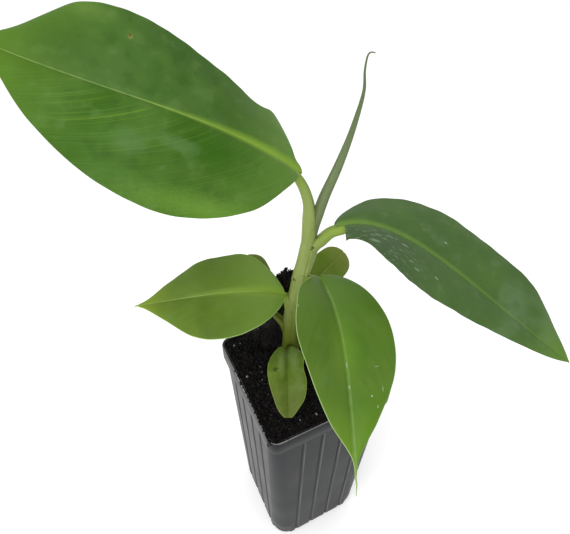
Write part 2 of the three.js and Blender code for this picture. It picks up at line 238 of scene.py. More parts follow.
# ------------------------------------------------------------------------------ finishes
class Recipe:
    """A material in the making: its colour so far, and short calls for the nodes it needs."""

    def __init__(self, name: str, base: Colour, roughness: float, specular: float) -> None:
        """Starts a material.

        Args:
            name: The material's name.
            base: The colour that the others are laid on.
            roughness: How dull it is, where no pattern says otherwise.
            specular: How strongly it reflects.
        """
        self.material = bpy.data.materials.new(name)
        self.material.use_nodes = True
        self.tree = self.material.node_tree
        self.inputs = self.tree.nodes["Principled BSDF"].inputs
        self.inputs["Base Color"].default_value = seen(base)
        self.inputs["Roughness"].default_value = roughness
        self.inputs["Specular IOR Level"].default_value = specular
        self.colour: Colour | Socket = base
        self.place = self.node("ShaderNodeTexCoord", {}).outputs["Object"]

    def node(self, kind: str, inputs: dict[Any, Any], **settings: Any) -> bpy.types.Node:
        """Adds a node.

        Args:
            kind: The node's type.
            inputs: The value or the socket that goes into each named or numbered input.
            **settings: The node's own settings.

        Returns:
            The node.
        """
        made = self.tree.nodes.new(kind)
        for key, value in settings.items():
            setattr(made, key, value)
        for key, value in inputs.items():
            if isinstance(value, Socket):
                self.tree.links.new(value, made.inputs[key])
            else:
                made.inputs[key].default_value = value
        return made

    def parts(self, vector: Socket) -> tuple[Socket, Socket, Socket]:
        """Splits a vector into its three numbers."""
        made = self.node("ShaderNodeSeparateXYZ", {0: vector}).outputs
        return made[0], made[1], made[2]

    def marks(self, name: str) -> tuple[Socket, Socket, Socket]:
        """Gives the three numbers of one of the mesh's own attributes."""
        made = self.node("ShaderNodeAttribute", {}, attribute_name=name)
        return self.parts(made.outputs["Vector"])

    def math(self, operation: str, *values: Any) -> Socket:
        """Gives the result of a sum on numbers or sockets."""
        inputs = dict(enumerate(values))
        return self.node("ShaderNodeMath", inputs, operation=operation).outputs[0]

    def times(self, first: Any, *others: Any) -> Any:
        """Multiplies numbers or sockets."""
        for other in others:
            first = self.math("MULTIPLY", first, other)
        return first

    def scaled(self, value: Any, factor: Any, plus: Any) -> Socket:
        """Multiplies a value, then adds to it."""
        return self.math("MULTIPLY_ADD", value, factor, plus)

    def rise(self, value: Any, low: Any, high: Any) -> Socket:
        """Gives 0 at low and 1 at high, with a smooth change between them."""
        inputs = {0: value, 1: low, 2: high, 3: 0.0, 4: 1.0}
        kind = "ShaderNodeMapRange"
        return self.node(kind, inputs, interpolation_type="SMOOTHSTEP").outputs[0]

    def join(self, x: Any, y: Any, z: Any) -> Socket:
        """Makes a vector of three numbers."""
        return self.node("ShaderNodeCombineXYZ", {0: x, 1: y, 2: z}).outputs[0]

    def stretch(self, vector: Socket, *scale: float) -> Socket:
        """Scales a place along each axis."""
        return self.node("ShaderNodeMapping", {"Vector": vector, "Scale": scale}).outputs[0]

    def cloud(self, vector: Socket, scale: float, detail: float = 3.0) -> Socket:
        """Gives soft random shades, from 0 to 1, of 1/scale of the vector's length."""
        inputs = {"Vector": vector, "Scale": scale, "Detail": detail}
        return self.node("ShaderNodeTexNoise", inputs).outputs["Fac"]

    def coat(self, colour: Colour, share: Any, *strengths: Any) -> None:
        """Lays a colour over the colour so far.

        Args:
            colour: The colour.
            share: How much of it there is at a place, from 0 to 1.
            *strengths: What that is multiplied by.
        """
        inputs = {0: self.times(share, *strengths)}
        for index, value in ((6, self.colour), (7, colour)):
            inputs[index] = value if isinstance(value, Socket) else seen(value)
        self.colour = self.node("ShaderNodeMix", inputs, data_type="RGBA").outputs[2]

    def finish(self, roughness: Socket, height: Socket, depth: float) -> bpy.types.Material:
        """Gives the finished material.

        Args:
            roughness: Its roughness.
            height: Its relief, from 0 to 1.
            depth: The relief's depth.

        Returns:
            The material.
        """
        relief = {"Height": height, "Distance": depth * MM, "Strength": 1.0}
        bump = self.node("ShaderNodeBump", relief).outputs[0]
        shown = {"Base Color": self.colour, "Roughness": roughness, "Normal": bump}
        for name, value in shown.items():
            self.tree.links.new(value, self.inputs[name])
        return self.material


class BladeRecipe(Recipe):
    """A blade's material in the making, with the places that the blade's mesh is marked with."""

    def __init__(self, name: str, base: Colour, roughness: float, specular: float) -> None:
        """Starts a material, with the same values as any other."""
        super().__init__(name, base, roughness, specular)
        self.share, self.across, self.vein = self.marks("blade")
        self.rib_away, self.edge_away, self.beneath = self.marks("reach")
        self.along = self.marks("run")[0]
        self.out = self.times(self.rib_away, self.math("SIGN", self.across))
        self.left = self.rise(self.across, -0.03, 0.03)

    def vein_cloud(self, per_mm: float, y: Any, z: float, scale: float = 1.0,
                   detail: float = 3.0) -> Socket:
        """Gives random shades that change from one side vein to the next.

        Args:
            per_mm: How fast they change along the blade.
            y: How they change from midrib to margin.
            z: Sets them apart from other shades.
            scale: How fine they are.
            detail: How ragged they are.

        Returns:
            The shades, from 0 to 1.
        """
        return self.cloud(self.join(self.times(self.vein, per_mm), y, z), scale, detail)


VEIN_PITCH = 4.6  # the step between strong side veins, in mm
VEIN_HALF = 0.2  # half the width of one, in mm
SCUFFED_GREEN = 0x32482A
SCUFF = 0x96A88C
# the colour of the painted shadow in the slits where leaf stalks part from the stem
SLIT_SHADOW = 0x3A2C18


@dataclass(frozen=True)
class Blemish:
    """A spot on a blade; some are painted highlights."""

    along: float  # its distance along the blade, in mm
    across: float  # its distance from the midrib, in mm, above 0 on the left
    size: Pair  # half its length along and across the blade
    colour: Colour  # its colour
    strength: float = 1.0  # how clearly it shows
    soft: float = 0.25  # how softly its edge fades

    def lay(self, recipe: BladeRecipe) -> None:
        """Lays the spot, with a ragged edge, over a blade's colour."""
        x = recipe.math("DIVIDE", recipe.math("SUBTRACT", recipe.along, self.along), self.size[0])
        y = recipe.math("DIVIDE", recipe.math("SUBTRACT", recipe.out, self.across), self.size[1])
        away = recipe.math("SQRT", recipe.math("ADD", recipe.times(x, x), recipe.times(y, y)))
        ragged = recipe.scaled(recipe.cloud(recipe.place, 1500.0), 0.9, away)
        spot = recipe.rise(ragged, 1.35 + self.soft, 1.35 - self.soft)
        recipe.coat(self.colour, spot, self.strength)


def scuff_marks(*rows: tuple[float, ...]) -> tuple[Blemish, ...]:
    """Makes whitish scuffs, each from its place, half its length and width, and its strength."""
    return tuple(Blemish(x, y, (long, wide), SCUFF, share, *soft)
                 for x, y, long, wide, share, *soft in rows)


@dataclass(frozen=True)
class BladeFinish:
    """The surface of a leaf blade, whose veins follow the blade."""

    name: str  # the material's name
    base: Colour  # the main green
    light: Colour  # the green of its lighter streaks
    dark: Colour  # the green of its darker streaks
    left_half_shade: Colour  # the painted shade on the half to the left of the midrib
    left_shade_share: float  # how much that half takes of the painted shade
    rib: Colour  # the colour of the midrib and the strongest veins
    rib_width: Pair  # half the width of the midrib's soft band at the base, and of its line
    rib_share: Pair  # how clearly the band and the line show
    band_end: float  # the place along the blade where the band has faded out
    margin: Colour  # the colour of the blade's edge
    margin_share: Pair  # how clearly the edge shows on the left and on the right
    tip: Colour  # the colour of the blade's last part
    tip_share: float  # how much the tip takes of it
    bloom: Colour  # the colour of the waxy patches
    bloom_share: float  # how clearly they show
    veins: Pair  # how clearly the fine and the strong side veins show
    line_from: float = 0.3  # the place along the blade from which the line shows fully
    tip_from: float = 0.7  # the place along the blade where the tip's colour starts
    mottle: float = 0.15  # how clearly small pale and dark flecks show
    heel: Colour = 0x597C31  # the colour of the blade's first part
    heel_share: float = 0.0  # how much that part takes of it
    heel_to: float = 0.4  # the place along the blade where it has faded out
    calm: float = 1.0  # how much of the side veins is left on the right half
    scuffs: float = 0.0  # how clearly whitish scuffs show on the right half's first part
    under: Colour = 0x708A4E  # the colour of the underside
    roughness: float = 0.46  # how dull the upper side is
    specular: float = 0.15  # how strongly it reflects
    blemishes: tuple[Blemish, ...] = ()  # the spots on it

    def material(self) -> bpy.types.Material:
        """Makes the material."""
        recipe = BladeRecipe(self.name, self.base, self.roughness, self.specular)
        place = recipe.place
        side = recipe.scaled(recipe.left, 1 - self.calm, self.calm)
        clouds = recipe.cloud(place, 42.0)
        shadows = recipe.cloud(place, 24.0, 4.0)
        streaks = recipe.vein_cloud(0.16, recipe.across, 0.0, 1.3)
        waxy = recipe.cloud(recipe.stretch(place, 1.0, 1.0, 1.6), 31.0, 6.0)
        bloom = recipe.times(recipe.rise(waxy, 0.47, 0.66), self.bloom_share)
        flecks = recipe.cloud(recipe.stretch(place, 1.0, 1.0, 1.3), 170.0, 6.0)
        # painted shade on the left half
        recipe.coat(self.left_half_shade, recipe.left, self.left_shade_share)
        recipe.coat(self.light, recipe.rise(clouds, 0.4, 0.68), 0.6)
        recipe.coat(self.dark, recipe.rise(shadows, 0.45, 0.7), 0.5)
        recipe.coat(self.dark, recipe.rise(streaks, 0.46, 0.7), 0.3, side)
        recipe.coat(self.bloom, bloom)
        recipe.coat(self.bloom, recipe.rise(flecks, 0.52, 0.7), self.mottle)
        recipe.coat(self.dark, recipe.rise(flecks, 0.48, 0.3), self.mottle)
        relief = self._add_veins(recipe, side)
        recipe.coat(self.tip, recipe.rise(recipe.share, self.tip_from, 1.0), self.tip_share)
        recipe.coat(self.heel, recipe.rise(recipe.share, self.heel_to, 0.0), self.heel_share)
        self._add_rib(recipe)
        if self.scuffs:
            self._add_scuffs(recipe)
        left_edge, right_edge = self.margin_share
        edge = recipe.scaled(recipe.left, left_edge - right_edge, right_edge)
        recipe.coat(self.margin, recipe.rise(recipe.edge_away, 0.34, 0.12), edge)
        for blemish in self.blemishes:
            blemish.lay(recipe)
        recipe.coat(self.under, recipe.beneath)
        rough = recipe.scaled(clouds, 0.16, self.roughness - 0.08)
        rough = recipe.scaled(bloom, 0.2, rough)
        return recipe.finish(rough, recipe.scaled(recipe.cloud(place, 900.0), 0.12, relief), 0.1)

    def _add_veins(self, recipe: BladeRecipe, side: Socket) -> Socket:
        """Adds the side veins, which are uneven in strength and in distance.

        Args:
            recipe: The material in the making.
            side: How clearly veins show on this half of the blade.

        Returns:
            The veins' relief.
        """
        fine_share, strong_share = self.veins
        clear = recipe.times(recipe.rise(recipe.rib_away, 0.6, 4.0), side)
        drift = recipe.times(recipe.edge_away, 0.03)
        fine = recipe.times(recipe.rise(recipe.vein_cloud(0.85, drift, 0.0), 0.42, 0.72), clear)
        patchy = recipe.rise(recipe.vein_cloud(0.09, drift, 7.0), 0.36, 0.64)
        recipe.coat(self.light, fine, patchy, fine_share)
        warped = recipe.scaled(recipe.vein_cloud(0.17, 0.0, 3.0, detail=1.0), 14.0, recipe.vein)
        strong = recipe.rise(recipe.math("PINGPONG", warped, VEIN_PITCH / 2), VEIN_HALF, 0.0)
        picked = recipe.rise(recipe.vein_cloud(0.2, 0.0, 9.0, detail=0.0), 0.34, 0.6)
        inner = recipe.rise(recipe.edge_away, 3.0, 12.0)
        recipe.coat(self.rib, strong, clear, picked, inner, strong_share)
        return recipe.scaled(fine, -0.35, 0.5)

    def _add_rib(self, recipe: BladeRecipe) -> None:
        """Adds the midrib: a soft band that fades out, and a thin line."""
        base_width, line_width = self.rib_width
        band_share, line_share = self.rib_share
        rest = recipe.math("SUBTRACT", 1.0, recipe.math("DIVIDE", recipe.share, self.band_end))
        rest = recipe.math("MAXIMUM", rest, 0.0)
        width = recipe.scaled(rest, base_width - line_width, line_width)
        band = recipe.rise(recipe.rib_away, width, 0.0)
        recipe.coat(self.rib, band, recipe.math("POWER", rest, 0.6), band_share)
        painted_highlight = recipe.rise(recipe.cloud(recipe.join(recipe.along, 0.0, 0.0), 0.35, 4.0), 0.3, 0.62)
        line = recipe.rise(recipe.rib_away, line_width, line_width * 0.35)
        start = recipe.rise(recipe.share, 0.02, self.line_from)
        recipe.coat(self.margin, line, recipe.scaled(painted_highlight, 0.5, 0.5), line_share, start)

    def _add_scuffs(self, recipe: BladeRecipe) -> None:
        """Adds whitish scuffs to the right half, towards the base."""
        region = recipe.times(
            recipe.rise(recipe.out, -2.5, -6.0), recipe.rise(recipe.share, 0.5, 0.2))
        recipe.coat(SCUFFED_GREEN, region, 0.55)
        skewed = recipe.scaled(recipe.out, 0.35, recipe.along)
        rubbed = recipe.cloud(recipe.join(recipe.times(skewed, 0.22), recipe.out, 0.0), 1.1)
        recipe.coat(SCUFF, recipe.rise(rubbed, 0.56, 0.7), region, self.scuffs)


@dataclass(frozen=True)
class LimbFinish:
    """The surface of the stem, a petiole or the rolled leaf, with streaks along it."""

    name: str  # the material's name
    foot: Colour  # the colour at the lower height
    top: Colour  # the colour at the upper height
    heights: Pair  # those two heights
    streak: Colour  # the colour of the streaks
    streak_share: float  # how clearly they show
    edge: Colour  # the colour of the lines that are marked on the limb
    slit_shadows: tuple[Knot, ...] = ()  # painted shadows in the slits where leaf stalks part from the stem, each a place in the plant's axes and a radius
    roughness: float = 0.4  # how dull it is
    specular: float = 0.22  # how strongly it reflects

    def material(self) -> bpy.types.Material:
        """Makes the material."""
        recipe = Recipe(self.name, self.foot, self.roughness, self.specular)
        place = recipe.place
        low, high = self.heights
        rise = recipe.rise(recipe.parts(place)[2], low * MM, high * MM)
        recipe.coat(self.top, rise)
        share, around, line = recipe.marks("limb")
        turn = recipe.times(around, math.tau)
        wrap = recipe.join(recipe.math("COSINE", turn), recipe.math("SINE", turn), share)
        streaks = recipe.cloud(recipe.stretch(wrap, 1.0, 1.0, 0.5), 6.0, 4.0)
        recipe.coat(self.streak, recipe.rise(streaks, 0.42, 0.7), self.streak_share,
                    recipe.scaled(rise, 0.6, 0.4))
        recipe.coat(self.edge, recipe.rise(recipe.cloud(place, 260.0), 0.6, 0.75), 0.35)
        recipe.coat(self.edge, line)
        turned = Matrix.Rotation(PLANT_TURN, 4, "Z")
        # painted shadow in each slit where a leaf stalk parts from the stem
        for x, y, z, radius in self.slit_shadows:
            middle = turned @ Vector((x, y, z)) * MM
            away = recipe.node("ShaderNodeVectorMath", {0: place, 1: middle}, operation="DISTANCE")
            ragged = recipe.scaled(recipe.cloud(place, 1400.0), 0.5 * MM, away.outputs["Value"])
            recipe.coat(SLIT_SHADOW, recipe.rise(ragged, (radius + 0.35) * MM, radius * MM), 0.85)
        return recipe.finish(
            recipe.scaled(streaks, 0.2, self.roughness - 0.1), streaks, 0.25)


@dataclass(frozen=True)
class PlasticFinish:
    """Black moulded plastic: painted shade in its grooves, under its band and in its rim's channel,
    painted highlights on its lit edges, painted sheen on one face, dust specks and faint scuffs.
    """

    name: str = "black_plastic"
    base: Colour = 0x16181A
    # painted shade, laid in the grooves, under the band's step and in the rim's channel
    painted_shade: Colour = 0x080808
    # the colour of dust specks, and of the painted sheen on one face
    dust_and_sheen: Colour = 0x686664
    # painted highlight, on the grooves' lit edges and the rim's lips
    painted_highlight: Colour = 0xA8A8A6
    speck_share: float = 0.3
    # how strongly the painted sheen shows on its face
    face_sheen_share: float = 0.23
    scuff_share: float = 0.12
    # how strongly the painted shade shows
    painted_shade_share: float = 0.9
    roughness: float = 0.38
    specular: float = 0.09

    def material(self) -> bpy.types.Material:
        """Makes the material."""
        recipe = Recipe(self.name, self.base, self.roughness, self.specular)
        broad = recipe.cloud(recipe.place, 38.0, 2.0)
        fine = recipe.cloud(recipe.place, 1100.0, 2.0)
        scuffs = recipe.cloud(recipe.stretch(recipe.place, 900.0, 900.0, 60.0), 1.0, 2.0)
        # the painted shade, painted highlight and painted sheen that the wall's mesh is marked with
        painted_shade, painted_highlight, painted_sheen = recipe.marks("painted_light")
        specks = recipe.times(recipe.rise(fine, 0.62, 0.78), recipe.rise(broad, 0.4, 0.7))
        recipe.coat(self.dust_and_sheen, specks, self.speck_share)
        # painted sheen on one face
        recipe.coat(self.dust_and_sheen, painted_sheen, self.face_sheen_share)
        recipe.coat(self.dust_and_sheen, recipe.rise(scuffs, 0.62, 0.8), self.scuff_share)
        # painted shade in the grooves, under the band and in the rim's channel
        recipe.coat(self.painted_shade, painted_shade, self.painted_shade_share)
        patchy = recipe.scaled(recipe.rise(broad, 0.35, 0.65), 0.5, 0.5)
        # painted highlight on the grooves' lit edges and the rim's lips
        recipe.coat(self.painted_highlight, painted_highlight, patchy)
        rough = recipe.scaled(broad, 0.18, self.roughness - 0.09)
        return recipe.finish(rough, recipe.scaled(scuffs, 0.4, fine), 0.02)


@dataclass(frozen=True)
class GrainFinish:
    """A granular surface, such as moist peat or pale grit."""

    name: str  # the material's name
    dark: Colour  # the colour of its hollows
    light: Colour  # the colour of its grains
    scale: float  # how many grains there are to a metre
    roughness: float  # how dull it is
    depth: float  # the depth of its relief
    specular: float = 0.3  # how strongly it reflects

    def material(self) -> bpy.types.Material:
        """Makes the material."""
        recipe = Recipe(self.name, self.dark, self.roughness, self.specular)
        grains = recipe.cloud(recipe.place, self.scale, 5.0)
        recipe.coat(self.light, recipe.rise(grains, 0.35, 0.72))
        rough = recipe.scaled(grains, -0.3, self.roughness + 0.15)
        return recipe.finish(rough, grains, self.depth)


# ------------------------------------------------------------------------------ the leaves
BLADE_STATIONS = (0.0, 0.07, 0.2, 0.4, 0.6, 0.8, 0.93, 1.0)
ROOT_FLARE = 1.5  # how much faster than a straight line a blade widens at its root
TIP_ROUND = 1.3  # how much faster than a straight line a blade narrows at its tip
LEAST_HALF = 0.25  # the least half width of a blade
FULL_RELIEF_AT = 10.0  # the half width from which a blade has its full relief
RIPPLE_LEAD = 2.1  # how far the right margin's waves are ahead of the left's, in radians
SHORT_RIPPLE = (0.6, 0.43)  # height and length of the shorter waves, as shares of the main ones
UNEVENNESS = 0.9  # how far a blade wanders from its smooth shape, in mm
EDGE_THINNING = 0.7  # how much of its thickness a blade loses at the margin
KEEL_DEPTH = 0.85  # how far the keel stands out, as a share of its radius
RIGHT_VEINS = 400.0  # sets the right half's side veins apart from the left's
THREAD_RADII = (0.3, 0.1)  # the dry thread's radius at its foot and at its end


@dataclass(frozen=True)
class Bump:
    """A place where a blade's margin leaves its smooth curve."""

    side: int  # 1 on the left of the midrib, -1 on the right
    share: float  # its place along the blade
    spread: float  # its length, as a share of the blade's
    size: float  # how far the margin stands out, in mm

    def at(self, share: float) -> float:
        """Gives how far the margin stands out at a place along the blade."""
        return self.size * math.exp(-(((share - self.share) / self.spread) ** 2))


@dataclass(frozen=True)
class Station:
    """One place along a blade's midrib, and the blade's directions and half widths there."""

    share: float
    run: float
    middle: Vector
    along: Vector
    across: Vector
    up: Vector
    left: float
    right: float

    def half(self, across: float) -> float:
        """Gives the half width on the side of a place across the blade."""
        return self.left if across > 0 else self.right


@dataclass
class Leaf:
    """One leaf: a blade with a channelled midrib and side veins, on its petiole."""

    name: str  # the leaf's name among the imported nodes
    stalk: tuple[Knot, ...]  # the petiole's course, from foot to blade
    midrib: tuple[Point, Point, Point, Point]  # the four control points of the midrib's curve
    left: tuple[float, ...]  # half widths on the left at the inner blade stations
    right: tuple[float, ...]  # half widths on the right
    bank: Pair  # the blade's turn about its midrib, at base and tip
    fold: float  # how far both halves are lifted
    lobe: Pair  # how far the base reaches back past the petiole's end, on the left and right
    finish: BladeFinish  # the blade's finish
    stalk_finish: LimbFinish  # the petiole's finish
    bumps: tuple[Bump, ...] = ()  # where its margins leave their smooth curve
    ear: float = 0.0  # how far the lobes reach back between midrib and margin, as a share of a lobe
    root_half: Pair = (0.8, 0.8)  # its half widths at the base, on the left and right
    tip_half: float = 0.0  # its half width at the tip
    slot: str = "leaf"  # the blade's material slot
    arch: float = 0.9  # how far each half bows up between midrib and margin
    channel: Pair = (0.7, 1.3)  # depth and half width of the midrib's channel at the base
    keel: float = 1.5  # radius of the midrib's keel on the underside, at the base
    ripple: Pair = (0.13, 17.0)  # height and length of the margins' waves
    thickness: float = 0.4  # the blade's thickness
    sweep: Pair = (0.5, 1.9)  # how far forward side veins run for their width, at base and tip
    thread: Pair = (0.0, 0.0)  # length and droop of the dry thread at the tip
    seed: float = 0.0  # sets the blade's own uneven waves
    lengthwise: int = 150  # how many faces the blade has along it
    crosswise: int = 64  # how many it has across
    lobe_reach: float = 0.1  # how far along the blade its lobes are felt
    stalk_sides: int = 36  # how many sides the petiole has
    stalk_steps: int = 64  # how many faces it has along it
    # Depth, as a share of the radius, and half angle of its channel.
    stalk_channel: Pair = (0.25, 0.45)

    def half_width(self, side: int, share: float) -> float:
        """Gives the half width of a side, 1 or -1, on a smooth curve through its sizes."""
        root = self.root_half[0 if side > 0 else 1]
        value = (root, *(self.left if side > 0 else self.right), self.tip_half)
        at = BLADE_STATIONS
        last = len(value) - 1
        slopes = [ROOT_FLARE * (value[1] - value[0]) / (at[1] - at[0])]
        for i in range(1, last):
            slopes.append((value[i + 1] - value[i - 1]) / (at[i + 1] - at[i - 1]))
        slopes.append(TIP_ROUND * (value[last] - value[last - 1]) / (at[last] - at[last - 1]))
        span = max(i for i in range(last) if at[i] <= share)
        step = at[span + 1] - at[span]
        t = (share - at[span]) / step
        first = (2 * t ** 3 - 3 * t * t + 1) * value[span]
        first += (t ** 3 - 2 * t * t + t) * step * slopes[span]
        second = (3 * t * t - 2 * t ** 3) * value[span + 1]
        second += (t ** 3 - t * t) * step * slopes[span + 1]
        extra = sum(bump.at(share) for bump in self.bumps if bump.side == side)
        return max(first + second + extra, LEAST_HALF)

    def station(self, share: float) -> Station:
        """Sets out the blade at one place along its midrib."""
        a, b, c, d = (Vector(point) for point in self.midrib)
        rest = 1 - share
        middle = rest ** 3 * a + 3 * rest ** 2 * share * b
        middle += 3 * rest * share ** 2 * c + share ** 3 * d
        along = rest ** 2 * (b - a) + 2 * rest * share * (c - b) + share ** 2 * (d - c)
        along.normalize()
        bank = math.radians(blend(*self.bank, share))
        across = Matrix.Rotation(bank, 3, along) @ UP.cross(along).normalized()
        length = ((d - a).length + (b - a).length + (c - b).length + (d - c).length) / 2
        return Station(share, share * length, middle, along, across, along.cross(across),
                       self.half_width(1, share), self.half_width(-1, share))

    def waves(self, station: Station, across: float) -> float:
        """Gives the height of the margins' waves and of the blade's unevenness at a point."""
        out = abs(across)
        height, pitch = self.ripple
        low, short = SHORT_RIPPLE
        side = 0.0 if across > 0 else RIPPLE_LEAD
        wave = math.sin(math.tau * station.run / pitch + side + self.seed)
        wave += low * math.sin(math.tau * station.run / (pitch * short) + 2 * side)
        uneven = Vector((station.share * 3.2, across * 1.4, self.seed * 5.3 + 1.7))
        fade = math.sin(math.pi * station.share) ** 0.5
        return height * out ** 3 * wave * fade + UNEVENNESS * noise.noise(uneven) * out

    def relief(self, station: Station, across: float, beneath: bool) -> float:
        """Gives how far the blade's surface stands above its plain sheet.

        Args:
            station: The place along the blade.
            across: The place across it, from -1 to 1.
            beneath: Whether the underside is asked for.

        Returns:
            The height, in mm.
        """
        half, out, rest = station.half(across), abs(across), 1 - station.share
        away = out * half
        body = min(half / FULL_RELIEF_AT, 1.0)
        height = (self.arch * 4 * out * (1 - out) + self.waves(station, across)) * body
        if beneath:
            radius = self.keel * rest ** 0.9 + 0.12
            height -= self.thickness * (1 - EDGE_THINNING * out ** 8)
            return height - math.sqrt(max(radius ** 2 - away ** 2, 0.0)) * KEEL_DEPTH
        depth, width = self.channel
        spread = width * rest + 0.3
        return height - depth * rest ** 0.7 * math.exp(-((away / spread) ** 2))

    def surface(self, station: Station, across: float, beneath: bool) -> Vector:
        """Gives a point on the blade.

        Args:
            station: The place along the blade.
            across: The place across it, from -1 to 1.
            beneath: Whether the point is on the underside.

        Returns:
            The point.
        """
        half, out = station.half(across), abs(across)
        fold = math.radians(self.fold)
        lift = out * half * math.sin(fold) + self.relief(station, across, beneath)
        back = self.lobe[0 if across > 0 else 1] * (out + self.ear * math.sin(math.pi * out))
        back *= math.exp(-station.share / self.lobe_reach)
        sheet = station.middle + station.across * (across * half * math.cos(fold))
        return sheet + station.up * lift - station.along * back

    def vein(self, station: Station, across: float) -> float:
        """Gives how far along the blade, in mm, the side vein at a point starts."""
        out = abs(across)
        forward = blend(*self.sweep, station.share) + 0.5 * out
        side = 0.0 if across > 0 else RIGHT_VEINS
        return station.run - out * station.half(across) * forward + side

    def build_blade(self) -> None:
        """Makes the blade as a thin closed shell, with the numbers that its finish reads."""
        bm = bmesh.new()
        blade, reach, run = (
            bm.verts.layers.float_vector.new(name) for name in ("blade", "reach", "run"))
        bmesh.ops.create_grid(
            bm, x_segments=self.lengthwise, y_segments=self.crosswise, size=0.5)
        sheet = bm.faces[:]
        raised = bmesh.ops.extrude_face_region(bm, geom=sheet, use_keep_orig=True)["geom"]
        top = {item for item in raised if isinstance(item, bmesh.types.BMVert)}
        stations: dict[int, Station] = {}
        for vert in bm.verts:
            t = min(max(vert.co.x + 0.5, 0.0), 1.0)
            key = round(t * self.lengthwise)
            if key not in stations:
                stations[key] = self.station(t * t * (1.5 - t) + t / 2)
            station = stations[key]
            line = vert.co.y * 2
            across = math.copysign(abs(line) ** 1.5, line)
            half = station.half(across)
            beneath = vert not in top
            away = abs(across) * half
            vert[blade] = (station.share, across, self.vein(station, across))
            vert[reach] = (away, half - away, float(beneath))
            vert[run] = (station.run, 0.0, 0.0)
            vert.co = self.surface(station, across, beneath)
        bmesh.ops.recalc_face_normals(bm, faces=bm.faces)
        if self.thread[0]:
            self._add_thread(bm)
        place_piece(bm, f"{self.name}_blade", self.finish.material(), self.slot, Axes.PLANT,
                    f"leaf_{self.name}", crease=70)

    def _add_thread(self, bm: BMesh) -> None:
        """Adds the dry thread that the tip runs out into."""
        tip = self.station(1.0)
        length, droop = self.thread
        knots = []
        for share in (-0.3, 0.0, 0.35, 0.7, 1.0):
            sunk = max(share, 0.0)
            spot = tip.middle + tip.along * (length * share) - UP * (droop * sunk ** 2)
            spot += tip.across * (0.14 * math.sin(share * 5))
            knots.append((*spot, blend(*THREAD_RADII, sunk)))
        add_tube(bm, Course(tuple(knots), tip.up).rings(steps=16), sides=8)

    def build_petiole(self) -> None:
        """Makes the petiole, channelled on the side that faces the stem and then the sky."""
        bm = bmesh.new()
        root = self.station(0.0)
        *foot, (x, y, z, radius) = self.stalk
        last = Vector((x, y, z)) - root.up * (radius * 0.9)
        under = radius * 0.6 + self.channel[0] + self.thickness
        tail = root.middle + root.along * (radius * 2.6) - root.up * under
        knots = (*foot, (*last, radius), (*tail, radius * 0.6))
        depth, width = self.stalk_channel

        def section(angle: float, ring: Ring) -> float:
            """Gives the petiole's outline: round, with a channel along its face."""
            turn = (angle + math.pi) % math.tau - math.pi
            groove = depth * ease(ring.share, 0.25, 0.6) * math.exp(-((turn / width) ** 2))
            return end_cap(ring.share, 0.93) * (1 - groove)

        rings = Course(knots, root.up).rings(self.stalk_steps)
        add_tube(bm, rings, self.stalk_sides, section)
        place_piece(bm, f"{self.name}_stalk", self.stalk_finish.material(), "stem", Axes.PLANT,
                    f"petiole_{self.name}")

    def build(self) -> None:
        """Makes the leaf's two pieces."""
        self.build_petiole()
        self.build_blade()


# ------------------------------------------------------------------------------ the stem
@dataclass(frozen=True)
class Sheath:
    """The edge of one leaf's sheath on the stem."""

    top: float  # the height where the sheath parts from the stem
    azimuth: float  # the direction in which its leaf goes, from the plant's X axis
    drop: float  # how far its edge has sunk on the far side of the stem
    step: float = 0.16  # how far it stands proud of what is inside it
    shade: float = 0.3  # how dark its edge is, at the side where its leaf goes

    def turn(self, azimuth: float) -> float:
        """Gives how far a direction is from its leaf's, from 0 to 1 for the far side."""
        return abs((azimuth - self.azimuth + 180) % 360 - 180) / 180

    def edge(self, azimuth: float) -> float:
        """Gives the height of its edge in a direction, in degrees."""
        return self.top - self.drop * self.turn(azimuth) ** 1.3

    def show(self, azimuth: float) -> float:
        """Gives how clearly its edge shows in a direction, in degrees."""
        return 1 - ease(self.turn(azimuth), 0.3, 0.75)


@dataclass
class Pseudostem:
    """The stem of rolled sheaths, each with its edge showing."""

    knots: tuple[Knot, ...]  # its course, from foot to top
    sheaths: tuple[Sheath, ...]  # the sheaths, from the newest to the oldest
    finish: LimbFinish
    line_width: float = 0.35
    sides: int = 96
    steps: int = 330

    def build(self) -> None:
        """Makes the stem."""
        bm = bmesh.new()

        def near(angle: float, ring: Ring) -> list[tuple[Sheath, float, float]]:
            """Gives each sheath, its edge's height over the ring, and how it shows there."""
            out = ring.way(angle)
            azimuth = math.degrees(math.atan2(out.y, out.x))
            return [(sheath, sheath.edge(azimuth) - ring.middle.z, sheath.show(azimuth))
                    for sheath in self.sheaths]

        def section(angle: float, ring: Ring) -> float:
            """Gives the stem's outline, which steps in above each sheath's edge."""
            extra = sum(sheath.step * (ease(below, 0.0, 0.35) - ease(below, 2.0, 26.0)) * show
                        for sheath, below, show in near(angle, ring))
            return end_cap(ring.share, 0.97) * (1 + extra / ring.radius)

        def mark(angle: float, ring: Ring) -> Point:
            """Gives the numbers for the stem's finish, with the sheaths' edges."""
            line = max(max(1 - abs(below) / self.line_width, 0.0) * sheath.shade * show
                       for sheath, below, show in near(angle, ring))
            return ring.share, angle / math.tau, line

        rings = Course(self.knots, Vector((1, 0, 0))).rings(self.steps)
        add_tube(bm, rings, self.sides, section, mark)
        place_piece(
            bm, "sheathed_stem", self.finish.material(), "stem", Axes.PLANT, "pseudostem")


